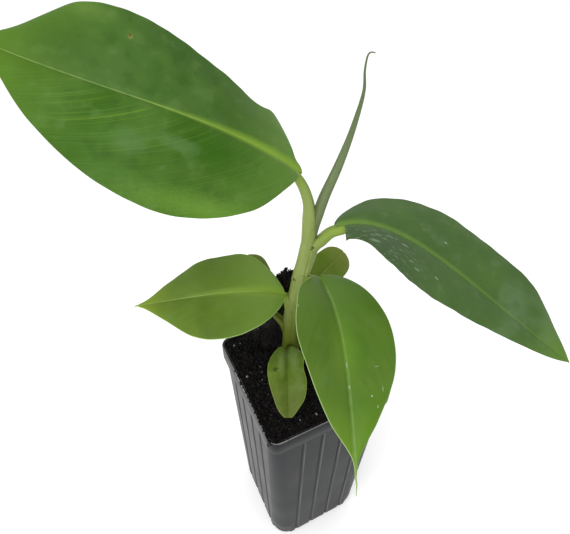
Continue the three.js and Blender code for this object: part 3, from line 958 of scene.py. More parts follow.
@dataclass
class SpearLeaf:
    """The newest leaf, still rolled, with its outer edge wound round it and a dry tip."""

    knots: tuple[Knot, ...]  # its course, from foot to tip
    finish: LimbFinish  # its finish
    seam: float = 0.16  # how far its outer edge stands out, as a share of the radius
    seam_turns: float = 0.55  # how many times that edge goes round it
    seam_shade: float = 0.45  # how dark the edge is
    sides: int = 56  # how many sides it has
    steps: int = 200  # how many faces it has along it

    def build(self) -> None:
        """Makes the rolled leaf."""
        bm = bmesh.new()

        def around(angle: float, ring: Ring) -> float:
            """Gives the share of a turn from the seam, which winds up the roll."""
            return (angle / math.tau + ring.share * self.seam_turns) % 1.0

        def section(angle: float, ring: Ring) -> float:
            """Gives the roll's outline, a spiral with a step at the seam."""
            turn = around(angle, ring)
            return 1 + self.seam * (turn - 0.5) - self.seam * ease(turn, 0.94, 1.0)

        def mark(angle: float, ring: Ring) -> Point:
            """Gives the numbers for the roll's finish."""
            turn = around(angle, ring)
            line = ease(turn, 0.93, 0.97) * (1 - ease(turn, 0.97, 1.0))
            return ring.share, turn, self.seam_shade * line

        rings = Course(self.knots, Vector((0, -1, 0))).rings(self.steps)
        add_tube(bm, rings, self.sides, section, mark)
        place_piece(
            bm, "rolled_leaf", self.finish.material(), "young_leaf", Axes.PLANT, "spear_leaf")


# ------------------------------------------------------------------------------ the pot
@dataclass(frozen=True)
class RoundedSquare:
    """A square about the origin with rounded corners."""

    half: float
    corner: float

    def pull(self, x: float, y: float) -> Pair:
        """Moves a point that lies outside a corner's rounding on to it, and gives it."""
        flat = self.half - self.corner
        dx, dy = abs(x) - flat, abs(y) - flat
        away = math.hypot(dx, dy)
        if dx <= 0 or dy <= 0 or away <= self.corner:
            return x, y
        share = self.corner / away
        return math.copysign(flat + dx * share, x), math.copysign(flat + dy * share, y)


def verts_of(geometry: list[Any]) -> list[Any]:
    """Picks out the vertices of what a mesh operator has made."""
    return [item for item in geometry if isinstance(item, bmesh.types.BMVert)]


@dataclass(frozen=True)
class Hoop:
    """One hoop of the pot's wall."""

    z: float  # its height
    inset: float  # how far it lies inside the wall's outline
    groove: float = 0.0  # the share of their depth that the grooves have there
    band: bool = False  # whether it belongs to the band under the rim
    foot: float = 0.0  # how much of the corner's notch it has
    painted_shade: float = 0.0  # how much painted shade it has
    painted_highlight: float = 0.0  # how much painted highlight it has


@dataclass
class NurseryPot:
    """The tall square pot: grooved walls, a smooth band under the rim, and drain holes."""

    width: float = 60.0  # its width across the band
    foot_width: float = 52.2  # its width at the underside
    height: float = 125.0  # its height
    band_height: float = 9.0  # the band's height
    band_step: float = 1.0  # how far the band stands proud of the wall
    rim_corner: float = 6.0  # the wall's corner radius at the rim
    band_corner: float = 4.8  # the band's own corner radius
    foot_corner: float = 9.0  # the wall's corner radius at the underside
    wall: float = 1.4  # the wall's thickness
    foot_edge: float = 2.0  # the rounding between wall and underside
    rim_edge: float = 0.3  # the rounding of the rim's outer edge
    grooves: tuple[float, ...] = (-14.5, -5.0, 5.0, 14.5)  # the middles of one face's grooves
    groove_half: float = 1.15  # half a groove's width
    groove_depth: float = 0.8  # its depth
    groove_gap: float = 2.2  # the plain wall between a groove's end and the band
    notch_height: float = 6.5  # how high the corners' notches reach
    notch_depth: float = 0.6  # their depth
    groove_side_shade: float = 0.6  # how much painted shade the sheen face has beside its grooves
    groove_highlight: float = 0.22  # how strong the painted highlight on a groove's lit edge is
    flange: float = 3.2  # how far the underside's open middle lies inside the outline
    floor: Pair = (0.35, 1.6)  # the floor's lower and upper height
    floor_lap: float = 0.3  # how far the floor reaches past the flange
    floor_corner: float = 5.9  # the floor's corner radius
    drain_at: float = 13.0  # the drain holes' distance from the middle, along X and along Y
    drain_radius: float = 4.0  # their radius
    drain_sides: int = 32  # how many sides they have
    corner_steps: int = 16  # how many faces a corner has
    wall_steps: int = 14  # how many faces the wall has between notch and groove ends
    sheen_face: int = 2  # the number of the face with the painted sheen
    finish: PlasticFinish = PlasticFinish()  # its finish

    def stations(self) -> list[Point]:
        """Sets out one face and one corner of the wall.

        Returns:
            For each station, its place along the face, the share of a groove's depth there,
            and its share of the corner's turn, or -1 on the face.
        """
        shape = ((-2.2, 0.0), (-1.3, 0.0), (-1.0, 0.0), (-0.8, 0.1), (-0.4, 0.85), (0.0, 1.0))
        shape += tuple((-place, deep) for place, deep in shape[4::-1])
        made = [(middle + place * self.groove_half, deep, -1.0)
                for middle in self.grooves for place, deep in shape]
        made = [(-math.inf, 0.0, -1.0), *made, (math.inf, 0.0, -1.0)]
        return made + [(0.0, 0.0, i / self.corner_steps) for i in range(1, self.corner_steps)]

    def wall_hoops(self, top: float) -> list[Hoop]:
        """Sets out the hoops from under the foot to the grooves' ends, at a height."""
        edge, notch = self.foot_edge, self.notch_height
        hoops = [Hoop(0.0, self.flange)]
        for turn in (0.0, 0.25, 0.5, 0.75):
            angle = turn * math.pi / 2
            hoops.append(Hoop(edge * (1 - math.cos(angle)), edge * (1 - math.sin(angle)),
                              ease(turn, 0.2, 1.0) * 0.8, foot=1.0))
        hoops += [Hoop(edge, 0.0, 0.9, foot=1.0), Hoop(notch - 0.35, 0.0, 1.0, foot=1.0)]
        hoops.append(Hoop(notch + 0.15, 0.0, 1.0))
        hoops += [Hoop(blend(notch, top - 2.4, i / self.wall_steps), 0.0, 1.0)
                  for i in range(1, self.wall_steps)]
        ends = ((2.2, 1.0), (1.5, 0.97), (0.95, 0.86), (0.5, 0.6), (0.2, 0.3), (0, 0))
        return hoops + [Hoop(top - drop, 0.0, deep) for drop, deep in ends]

    def band_hoops(self, low: float, rim: float) -> list[Hoop]:
        """Sets out the hoops from the band's step, at one height, over the rim, at another."""
        # The hoops under the band's step carry painted shadow, those over the rim's outer edge a
        # painted highlight, and those in the rim's channel painted shade.
        hoops = [Hoop(low - 0.5, 0.0), Hoop(low - 0.05, 0.12, painted_shade=0.8)]
        for z, inset, painted_shade in ((low + 0.02, 0.45, 1.0), (low + 0.15, 0.15, 0.4),
                               (low + 0.5, 0.0, 0.0), (blend(low, rim, 0.5), 0.0, 0.0)):
            hoops.append(Hoop(z, inset, band=True, painted_shade=painted_shade))
        for turn in (0.0, 0.35, 0.7, 1.0):
            angle = turn * math.pi / 2
            hoops.append(Hoop(rim - self.rim_edge * (1 - math.sin(angle)),
                              self.rim_edge * (1 - math.cos(angle)), band=True, painted_highlight=0.9 * turn))
        for drop, inset, painted_shade, painted_highlight in (
                (0.0, 0.46, 0.0, 0.7), (0.4, 0.55, 1.0, -0.3), (0.4, 0.9, 1.0, -0.3),
                (0.0, 1.0, 0.0, 0.25), (0.1, self.wall - 0.1, 0.0, 0.0),
                (0.5, self.wall, 0.0, 0.0), (rim - low - 1.5, self.wall, 0.0, 0.0)):
            hoops.append(Hoop(rim - drop, inset, band=True, painted_shade=painted_shade, painted_highlight=painted_highlight))
        return hoops

    def hoops(self) -> list[Hoop]:
        """Sets out all hoops, from under the foot, up the outside and down the inside."""
        low = self.height - self.band_height
        inner = [Hoop(low - 0.5, self.wall), Hoop(2.5, self.wall + 0.4),
                 Hoop(self.floor[1], self.flange)]
        return self.wall_hoops(low - self.groove_gap) + self.band_hoops(low, self.height) + inner

    def painted_light(self, station: Point, face: int, hoop: Hoop) -> Vector:
        """Gives the wall's painted shade, painted highlight and painted sheen at a station.

        Args:
            station: The station on the face.
            face: The face's number, from 0 to 3.
            hoop: Its hoop.

        Returns:
            The three shares.
        """
        place, deep, turn = station
        offsets = [place - middle for middle in self.grooves]
        painted_sheen = face == self.sheen_face and turn < 0
        # painted shade in the grooves' depths
        painted_shade = max(hoop.painted_shade, hoop.groove * ease(deep, 0.3, 1.0))
        # painted shade beside the grooves on the face with painted sheen
        if painted_sheen:
            near = ease(min(map(abs, offsets)), 2.4, 1.3)
            painted_shade = max(painted_shade, self.groove_side_shade * hoop.groove * near)
        # painted highlight on the rim's lips and on each groove's lit edge
        painted_highlight = hoop.painted_highlight
        if turn < 0 and any(0.9 < offset < self.groove_half + 0.01 for offset in offsets):
            painted_highlight = max(painted_highlight, self.groove_highlight * hoop.groove)
        return Vector((painted_shade, painted_highlight, float(painted_sheen)))

    def point(self, station: Point, face: int, hoop: Hoop) -> Vector:
        """Gives one point of the wall.

        Args:
            station: Its station on the face.
            face: The face's number, from 0 to 3.
            hoop: Its hoop.

        Returns:
            The point.
        """
        place, deep, turn = station
        rise = min(hoop.z / (self.height - self.band_height), 1.0)
        half = blend(self.foot_width / 2, self.width / 2 - self.band_step, rise) - hoop.inset
        corner = blend(self.foot_corner, self.rim_corner, hoop.z / self.height)
        if hoop.band:
            half, corner = half + self.band_step, self.band_corner
        corner = max(corner - hoop.inset, 1.0)
        flat = half - corner
        if turn < 0:
            x = half - deep * hoop.groove * self.groove_depth
            y = min(max(place, -flat), flat)
        else:
            notched = ease(turn, 0.08, 0.14) * (1 - ease(turn, 0.86, 0.92))
            radius = corner - notched * hoop.foot * self.notch_depth
            x = flat + radius * math.cos(turn * math.pi / 2)
            y = flat + radius * math.sin(turn * math.pi / 2)
        return Matrix.Rotation(face * math.pi / 2, 3, "Z") @ Vector((x, y, hoop.z))

    def add_wall(self, bm: BMesh) -> None:
        """Adds the wall, extruded hoop by hoop and closed under the foot."""
        stations = self.stations()
        # the wall's painted shade, painted highlight and painted sheen, read by its finish
        painted_light = bm.verts.layers.float_vector.new("painted_light")
        loop = bmesh.ops.create_circle(bm, segments=len(stations) * 4, radius=1.0)["verts"]
        for number, hoop in enumerate(self.hoops()):
            if number:
                held = set(loop)
                near = {edge for vert in loop for edge in vert.link_edges}
                edges = [edge for edge in near if held.issuperset(edge.verts)]
                fresh = set(verts_of(bmesh.ops.extrude_edge_only(bm, edges=edges)["geom"]))
                loop = [next(e.other_vert(v) for e in v.link_edges if e.other_vert(v) in fresh)
                        for v in loop]
            for i, vert in enumerate(loop):
                face, place = divmod(i, len(stations))
                vert.co = self.point(stations[place], face, hoop)
                vert[painted_light] = self.painted_light(stations[place], face, hoop)
        bmesh.ops.bridge_loops(bm, edges=[edge for edge in bm.edges if edge.is_boundary])

    def add_floor(self, bm: BMesh) -> None:
        """Adds the floor: four plates, each round a drain hole."""
        low, high = self.floor
        half = self.foot_width / 2 - self.flange + self.floor_lap
        outline = RoundedSquare(half, self.floor_corner)
        faces = []
        for sx, sy in ((-1, -1), (-1, 1), (1, -1), (1, 1)):
            middle = Vector((sx * self.drain_at, sy * self.drain_at, low))
            hole, rim = (bmesh.ops.create_circle(
                bm, segments=self.drain_sides, radius=radius)["verts"]
                for radius in (self.drain_radius, 1.0))
            bmesh.ops.translate(bm, verts=hole, vec=middle)
            for vert in rim:
                square = vert.co.xy / max(abs(vert.co.x), abs(vert.co.y)) * half / 2
                x, y = square.x + sx * half / 2, square.y + sy * half / 2
                vert.co = Vector((*outline.pull(x, y), low))
            edges = {edge for vert in (*hole, *rim) for edge in vert.link_edges}
            faces += bmesh.ops.bridge_loops(bm, edges=list(edges))["faces"]
        verts = {vert for face in faces for vert in face.verts}
        bmesh.ops.remove_doubles(bm, verts=list(verts), dist=1e-3)
        faces = [face for face in faces if face.is_valid]
        made = bmesh.ops.extrude_face_region(bm, geom=faces, use_keep_orig=True)["geom"]
        bmesh.ops.translate(bm, verts=verts_of(made), vec=UP * (high - low))

    def build(self) -> None:
        """Makes the pot."""
        bm = bmesh.new()
        self.add_wall(bm)
        self.add_floor(bm)
        bmesh.ops.recalc_face_normals(bm, faces=bm.faces)
        place_piece(bm, "grooved_pot", self.finish.material(), "pot", Axes.POT, "pot", crease=50)


# ------------------------------------------------------------------------------ the potting mix
LUMPS, CRUMBLE, CLODS = 0.9, 0.45, 2.4  # how far the mix is uneven: broadly, finely, on the heap
CRUMB_SINK = 0.3  # how far a crumb's middle is above the surface, as a share of its radius
LEFT_RIM_SHARE = 0.7  # the share of the rim's crumbs that lie on its left
RIM_EDGE = 29.7  # how far out a crumb on the rim may lie


@dataclass(frozen=True)
class Mound:
    """A place where the mix is heaped: its middle, its reach along X and Y, and its height."""

    at: Pair
    spread: Pair
    height: float

    def out(self, x: float, y: float) -> float:
        """Gives the square of how far out a place is, 1 being its reach."""
        dx, dy = (x - self.at[0]) / self.spread[0], (y - self.at[1]) / self.spread[1]
        return dx * dx + dy * dy


@dataclass
class PottingMix:
    """Moist peat in the pot, heaped behind the stem, with crumbs, fibres and pale grit."""

    outline: RoundedSquare = RoundedSquare(28.45, 3.2)  # the surface's outline
    level: float = 124.2  # its height at the wall
    swell: float = 0.5  # how far its middle stands above that
    rim: float = 125.0  # the height of the pot's rim
    # The tall heap. Its height is measured from the underside of the pot.
    heap: Mound = Mound((1.4, 20.6), (8.6, 6.0), 164.0)
    # The low heap beside it. Its height is measured from the surface.
    shoulder: Mound = Mound((-6.5, 24.5), (7.0, 4.2), 8.0)
    # Height and half width of the hidden hoops below the surface.
    sides: tuple[Pair, ...] = ((118.4, 28.45), (115.0, 27.3), (1.9, 23.5))
    grid: int = 230  # how many faces the surface has across
    crumbs: int = 2600  # how many crumbs lie on the surface
    rim_crumbs: int = 170  # how many lie on the rim
    corner_crumbs: int = 42  # how many more lie on the corner that is heaped over
    fibres: int = 220  # how many fibres stand out of the surface
    fine_grit: int = 70  # how many small grains of grit there are
    # Larger grains of grit, each a place and a radius.
    grit: tuple[Point, ...] = (
        (-6.4, -24.4, 0.72), (-24.5, 24.4, 0.45), (-21.6, 24.0, 0.5), (-25.7, 5.3, 0.62),
        (-18.3, 7.6, 0.4), (-2.7, 26.6, 0.4), (-18.6, 4.8, 0.35), (-20.3, 0.9, 0.4),
        (-23.5, 7.1, 0.3), (-21.0, -7.2, 0.3), (-13.9, -23.8, 0.35))
    seed: int = 11  # sets the source of chance
    # The finish of the mix.
    mix_finish: GrainFinish = GrainFinish(
        "moist_peat", 0x020101, 0x171312, 900.0, 0.6, 0.4, 0.12)
    # The finish of the larger grains.
    grit_finish: GrainFinish = GrainFinish(
        "pale_grit", 0x605E5C, 0xA8A6A2, 1500.0, 0.7, 0.1)
    # The finish of the small ones.
    dim_finish: GrainFinish = GrainFinish(
        "dim_grit", 0x2C2A2A, 0x605D5C, 1200.0, 0.7, 0.1)

    def ground(self, x: float, y: float) -> float:
        """Gives the surface's height at a place."""
        edge = max(abs(x), abs(y)) / self.outline.half
        height = self.level + self.swell * (1 - edge * edge)
        wobble = 0.4 * noise.noise(Vector((x * 0.25, y * 0.25, 3.0)))
        bell = math.exp(-(self.heap.out(x, y) ** 2.4) * (1 + wobble))
        height += (self.heap.height - self.level - self.swell) * bell
        height += self.shoulder.height * math.exp(-self.shoulder.out(x, y)) * (1 - bell)
        place = Vector((x, y, 0.0))
        rough = LUMPS * noise.fractal(place * 0.35, 0.7, 2.0, 4)
        rough += CRUMBLE * noise.fractal(place * 1.3, 0.6, 2.1, 4)
        rough += CLODS * bell * noise.fractal(place * 0.5 + Vector((9, 4, 2)), 0.7, 2.0, 4)
        return height + rough * (1 - 0.5 * ease(edge, 0.93, 1.0))

    def on_ground(self, x: float, y: float, lift: float) -> Vector:
        """Gives the point that is a little above the surface at a place."""
        return Vector((x, y, self.ground(x, y) + lift))

    def build_body(self, material: bpy.types.Material) -> None:
        """Makes the body of the mix, down to the pot's floor."""
        bm = bmesh.new()
        reach = self.outline.half
        bmesh.ops.create_grid(bm, x_segments=self.grid, y_segments=self.grid, size=reach)
        for vert in bm.verts:
            vert.co = self.on_ground(*self.outline.pull(vert.co.x, vert.co.y), 0.0)
        rims = [edge for edge in bm.edges if edge.is_boundary]
        for z, half in self.sides:
            made = bmesh.ops.extrude_edge_only(bm, edges=rims)["geom"]
            for vert in verts_of(made):
                vert.co = Vector((vert.co.x * half / reach, vert.co.y * half / reach, z))
            rims = [item for item in made if isinstance(item, bmesh.types.BMEdge)
                    and item.is_boundary]
            reach = half
        bmesh.ops.holes_fill(bm, edges=rims, sides=0)
        bmesh.ops.recalc_face_normals(bm, faces=bm.faces)
        place_piece(bm, "potting_mix", material, "soil", Axes.POT, "soil", crease=180)

    def spot(self, rng: random.Random) -> Pair:
        """Picks a place on the surface."""
        half = self.outline.half
        while True:
            x, y = rng.uniform(-1, 1) * half, rng.uniform(-1, 1) * half
            if self.outline.pull(x, y) == (x, y):
                return x, y

    def add_grain(self, bm: BMesh, rng: random.Random, place: Vector, radius: float) -> None:
        """Adds one ragged grain.

        Args:
            bm: The mesh that it goes into.
            rng: The source of chance.
            place: Its place.
            radius: Its radius.
        """
        turn = Matrix.Rotation(rng.uniform(0, math.tau), 4, "Z")
        turn = turn @ Matrix.Rotation(rng.uniform(0, math.tau), 4, "X")
        sizes = [rng.uniform(0.6, 1.25) for _ in range(3)]
        shape = Matrix.LocRotScale(place, turn.to_quaternion(), Vector(sizes))
        made = bmesh.ops.create_icosphere(bm, subdivisions=1, radius=radius, matrix=shape)
        for vert in made["verts"]:
            vert.co += (vert.co - place) * rng.uniform(-0.25, 0.25)

    def rim_crumb(self, rng: random.Random) -> tuple[float, float, float]:
        """Picks the place and the radius of a crumb on the rim, which has most on its left."""
        left = rng.random() < LEFT_RIM_SHARE
        along = rng.triangular(-28, 20, -24) if left else rng.uniform(-28, 28)
        out = min(self.outline.half + abs(rng.gauss(0.0, 0.8 if left else 0.4)), RIM_EDGE)
        return (*((-out, along) if left else (along, -out)), rng.uniform(0.2, 0.65))

    def build_crumbs(self, material: bpy.types.Material) -> None:
        """Makes the loose crumbs on the surface, up the heap and on the rim."""
        rng = random.Random(self.seed)
        grains = []
        for _ in range(self.crumbs):
            x, y = self.spot(rng)
            radius = 0.2 + 0.75 * rng.random() ** 4
            grains.append((self.on_ground(x, y, radius * CRUMB_SINK), radius))
        ledge = [self.rim_crumb(rng) for _ in range(self.rim_crumbs)]
        ledge += [(-rng.gauss(26.2, 1.6), -rng.gauss(27.6, 0.8), rng.uniform(0.2, 0.6))
                  for _ in range(self.corner_crumbs)]
        grains += [(Vector((x, y, self.rim + radius * CRUMB_SINK)), radius)
                   for x, y, radius in ledge]
        bm = bmesh.new()
        add_in_batches(bm, grains, lambda part, grain: self.add_grain(part, rng, *grain))
        place_piece(bm, "mix_crumbs", material, "soil", Axes.POT, smooth=False, crease=0)

    def fibre(self, rng: random.Random, on_heap: bool) -> Course:
        """Gives the course of one fibre, which may grow out of the heap."""
        if on_heap:
            (x, y), (wide, deep) = self.heap.at, self.heap.spread
            x, y = rng.gauss(x, wide * 0.55), rng.gauss(y, deep * 0.4)
            x, y = self.outline.pull(x, min(y, self.outline.half - 1.5))
        else:
            x, y = self.spot(rng)
        start = self.on_ground(x, y, -0.3)
        length = rng.uniform(0.8, 2.4)
        way, curl = (Vector((rng.uniform(-1, 1), rng.uniform(-1, 1), rng.uniform(*heights)))
                     for heights in ((0.1, 0.9), (-0.8, 0.1)))
        way.normalize()
        knots = []
        for share in (0.0, 0.35, 0.7, 1.0):
            spot = start + way * (length * share) + curl * (length * 0.5 * share * share)
            knots.append((*spot, blend(0.16, 0.07, share)))
        return Course(tuple(knots), Vector((0.3, 0.2, 1)))

    def build_fibres(self, material: bpy.types.Material) -> None:
        """Makes the fibres that stand out of the surface, a third of them on the heap."""
        rng = random.Random(self.seed + 1)
        courses = [self.fibre(rng, number % 3 == 0) for number in range(self.fibres)]
        bm = bmesh.new()
        add_in_batches(
            bm, courses, lambda part, course: add_tube(part, course.rings(steps=6), sides=4))
        place_piece(bm, "mix_fibres", material, "soil", Axes.POT)

    def build_grit(self) -> None:
        """Makes the grains of grit, the large ones pale and the fine ones dim."""
        rng = random.Random(self.seed + 2)
        pale, dim = bmesh.new(), bmesh.new()
        for x, y, radius in self.grit:
            self.add_grain(pale, rng, self.on_ground(x, y, radius * 0.4), radius)
        for _ in range(self.fine_grit):
            x, y = self.spot(rng)
            radius = rng.uniform(0.12, 0.4)
            self.add_grain(dim, rng, self.on_ground(x, y, radius * 0.5), radius)
        for bm, finish in ((pale, self.grit_finish), (dim, self.dim_finish)):
            place_piece(bm, finish.name, finish.material(), "soil", Axes.POT,
                        smooth=False, crease=0)

    def build(self) -> None:
        """Makes all of the mix."""
        material = self.mix_finish.material()
        self.build_body(material)
        self.build_crumbs(material)
        self.build_fibres(material)
        self.build_grit()


# ------------------------------------------------------------------------------ the studio
WHITE = (1.0, 1.0, 1.0, 1.0)


@dataclass
class Studio:
    """The camera, the pale floor and the soft light."""

    eye: Point = (-61.5, -107.1, 297.7)  # the camera's place
    tilt: float = 47.7  # how far it is turned up from straight down
    pan: float = -26.0  # which way it looks, about Z
    lens: float = 28.42  # its focal length, for a sensor 36 mm wide
    floor_width: float = 6.0  # the floor's width, in metres
    floor_glow: float = 0.1  # how strongly the floor glows
    sky: float = 0.9  # how bright the sky is
    key_power: float = 9.0  # the lamp's power
    key_size: float = 1.2  # the lamp's width, in metres
    key_at: Point = (-700.0, -500.0, 900.0)  # the lamp's place

    def add(self, name: str, data: bpy.types.ID, at: Point = (0.0, 0.0, 0.0)) -> bpy.types.Object:
        """Adds an object to the scene.

        Args:
            name: Its name.
            data: What it shows.
            at: Its place.

        Returns:
            The object.
        """
        made = bpy.data.objects.new(name, data)
        made.location = Vector(at) * MM
        bpy.context.scene.collection.objects.link(made)
        return made

    def build_camera(self) -> None:
        """Makes the camera."""
        data = bpy.data.cameras.new("studio_camera")
        data.sensor_fit = "HORIZONTAL"
        data.sensor_width = 36.0
        data.lens = self.lens
        data.clip_start = 0.005
        data.clip_end = 50.0
        camera = self.add("studio_camera", data, self.eye)
        camera.rotation_euler = (math.radians(self.tilt), 0.0, math.radians(self.pan))
        bpy.context.scene.camera = camera

    def build_floor(self) -> None:
        """Makes the floor."""
        bm = bmesh.new()
        bmesh.ops.create_grid(bm, x_segments=1, y_segments=1, size=self.floor_width / 2)
        mesh = bpy.data.meshes.new("studio_floor")
        bm.to_mesh(mesh)
        bm.free()
        recipe = Recipe("floor_white", 0xFFFFFF, 0.9, 0.2)
        recipe.inputs["Base Color"].default_value = (0.98, 0.98, 0.98, 1.0)
        recipe.inputs["Emission Color"].default_value = WHITE
        recipe.inputs["Emission Strength"].default_value = self.floor_glow
        mesh.materials.append(recipe.material)
        self.add("studio_floor", mesh)

    def build_light(self) -> None:
        """Makes the pale sky and one large soft lamp."""
        world = bpy.data.worlds.new("studio_sky")
        world.use_nodes = True
        background = world.node_tree.nodes["Background"]
        background.inputs["Color"].default_value = WHITE
        background.inputs["Strength"].default_value = self.sky
        bpy.context.scene.world = world
        data = bpy.data.lights.new("soft_lamp", "AREA")
        data.energy = self.key_power
        data.size = self.key_size
        lamp = self.add("soft_lamp", data, self.key_at)
        lamp.rotation_euler = (-lamp.location).to_track_quat("-Z", "Y").to_euler()

    def build(self) -> None:
        """Makes the studio."""
        self.build_camera()
        self.build_floor()
        self.build_light()
        settings = bpy.context.scene.view_settings
        settings.view_transform = "Standard"
        settings.look = "None"


# ------------------------------------------------------------------------------ the plant
STEM_LOW = 0x546216
STEM_PALE = 0x849350
STALK_FINISH = LimbFinish(
    "pale_stalk", 0x6C7A2E, 0x788E36, (140.0, 175.0), 0x96A654, 0.3, 0x54681A)
RIGHT_STALK = LimbFinish(
    # The right stalk and the stem share painted shadow in the slit between them.
    "right_stalk", STEM_PALE, 0x7C9634, (184.0, 200.0), 0x96A654, 0.3, 0x54681A,
    ((2.2, 8.3, 187.9, 0.7), (1.8, 8.2, 187.0, 0.5)))
TOP_STALK = LimbFinish(
    "top_stalk", STEM_PALE, 0x748E2E, (205.0, 221.0), 0x98A862, 0.3, 0x5C6E28)
OLD_STALK = LimbFinish(
    "old_stalk", 0x4C5012, 0x566218, (125.0, 165.0), 0x6E742C, 0.3, 0x3C3A0E)
# Its spots are painted shadows in the slits where leaf stalks part from the stem.
STEM_FINISH = LimbFinish(
    "stem_sheaths", STEM_LOW, STEM_PALE, (132.0, 188.0), 0x9EAA6C, 0.35, 0x4E581A, (
        (-5.4, 7.6, 152.5, 0.6), (-5.1, 7.6, 150.2, 0.5), (-4.6, 8.8, 170.7, 0.7),
        (-3.9, 8.3, 170.6, 0.5), (2.2, 8.7, 187.9, 0.7), (1.8, 8.4, 187.0, 0.5)))
SPEAR_FINISH = LimbFinish(
    "rolled_green", 0x66744C, 0x586842, (200.0, 245.0), 0x7C8A64, 0.5, 0x42522E)


YOUNG_BLADE = BladeFinish(
    "young_green", base=0x325814, light=0x406A1A, dark=0x284C0C, left_half_shade=0x325A0A, left_shade_share=0.0,
    rib=0x769A24, rib_width=(2.6, 0.32), rib_share=(0.85, 0.5), band_end=0.8, margin=0xA0B86E,
    margin_share=(0.5, 0.3), tip=0x567C1E, tip_share=0.4, bloom=0x547446, bloom_share=0.35,
    veins=(0.35, 0.2))
OLD_BLADE = replace(
    YOUNG_BLADE, name="low_back_olive", base=0x4E6419, light=0x647A28, dark=0x405810, rib=0x768A32,
    rib_width=(0.8, 0.25), rib_share=(0.5, 0.4), band_end=0.9, tip=0x5C6214, tip_share=0.6,
    bloom=0x687C42, bloom_share=0.4, veins=(0.2, 0.05), margin=0x8C9A46, margin_share=(0.6, 0.6))


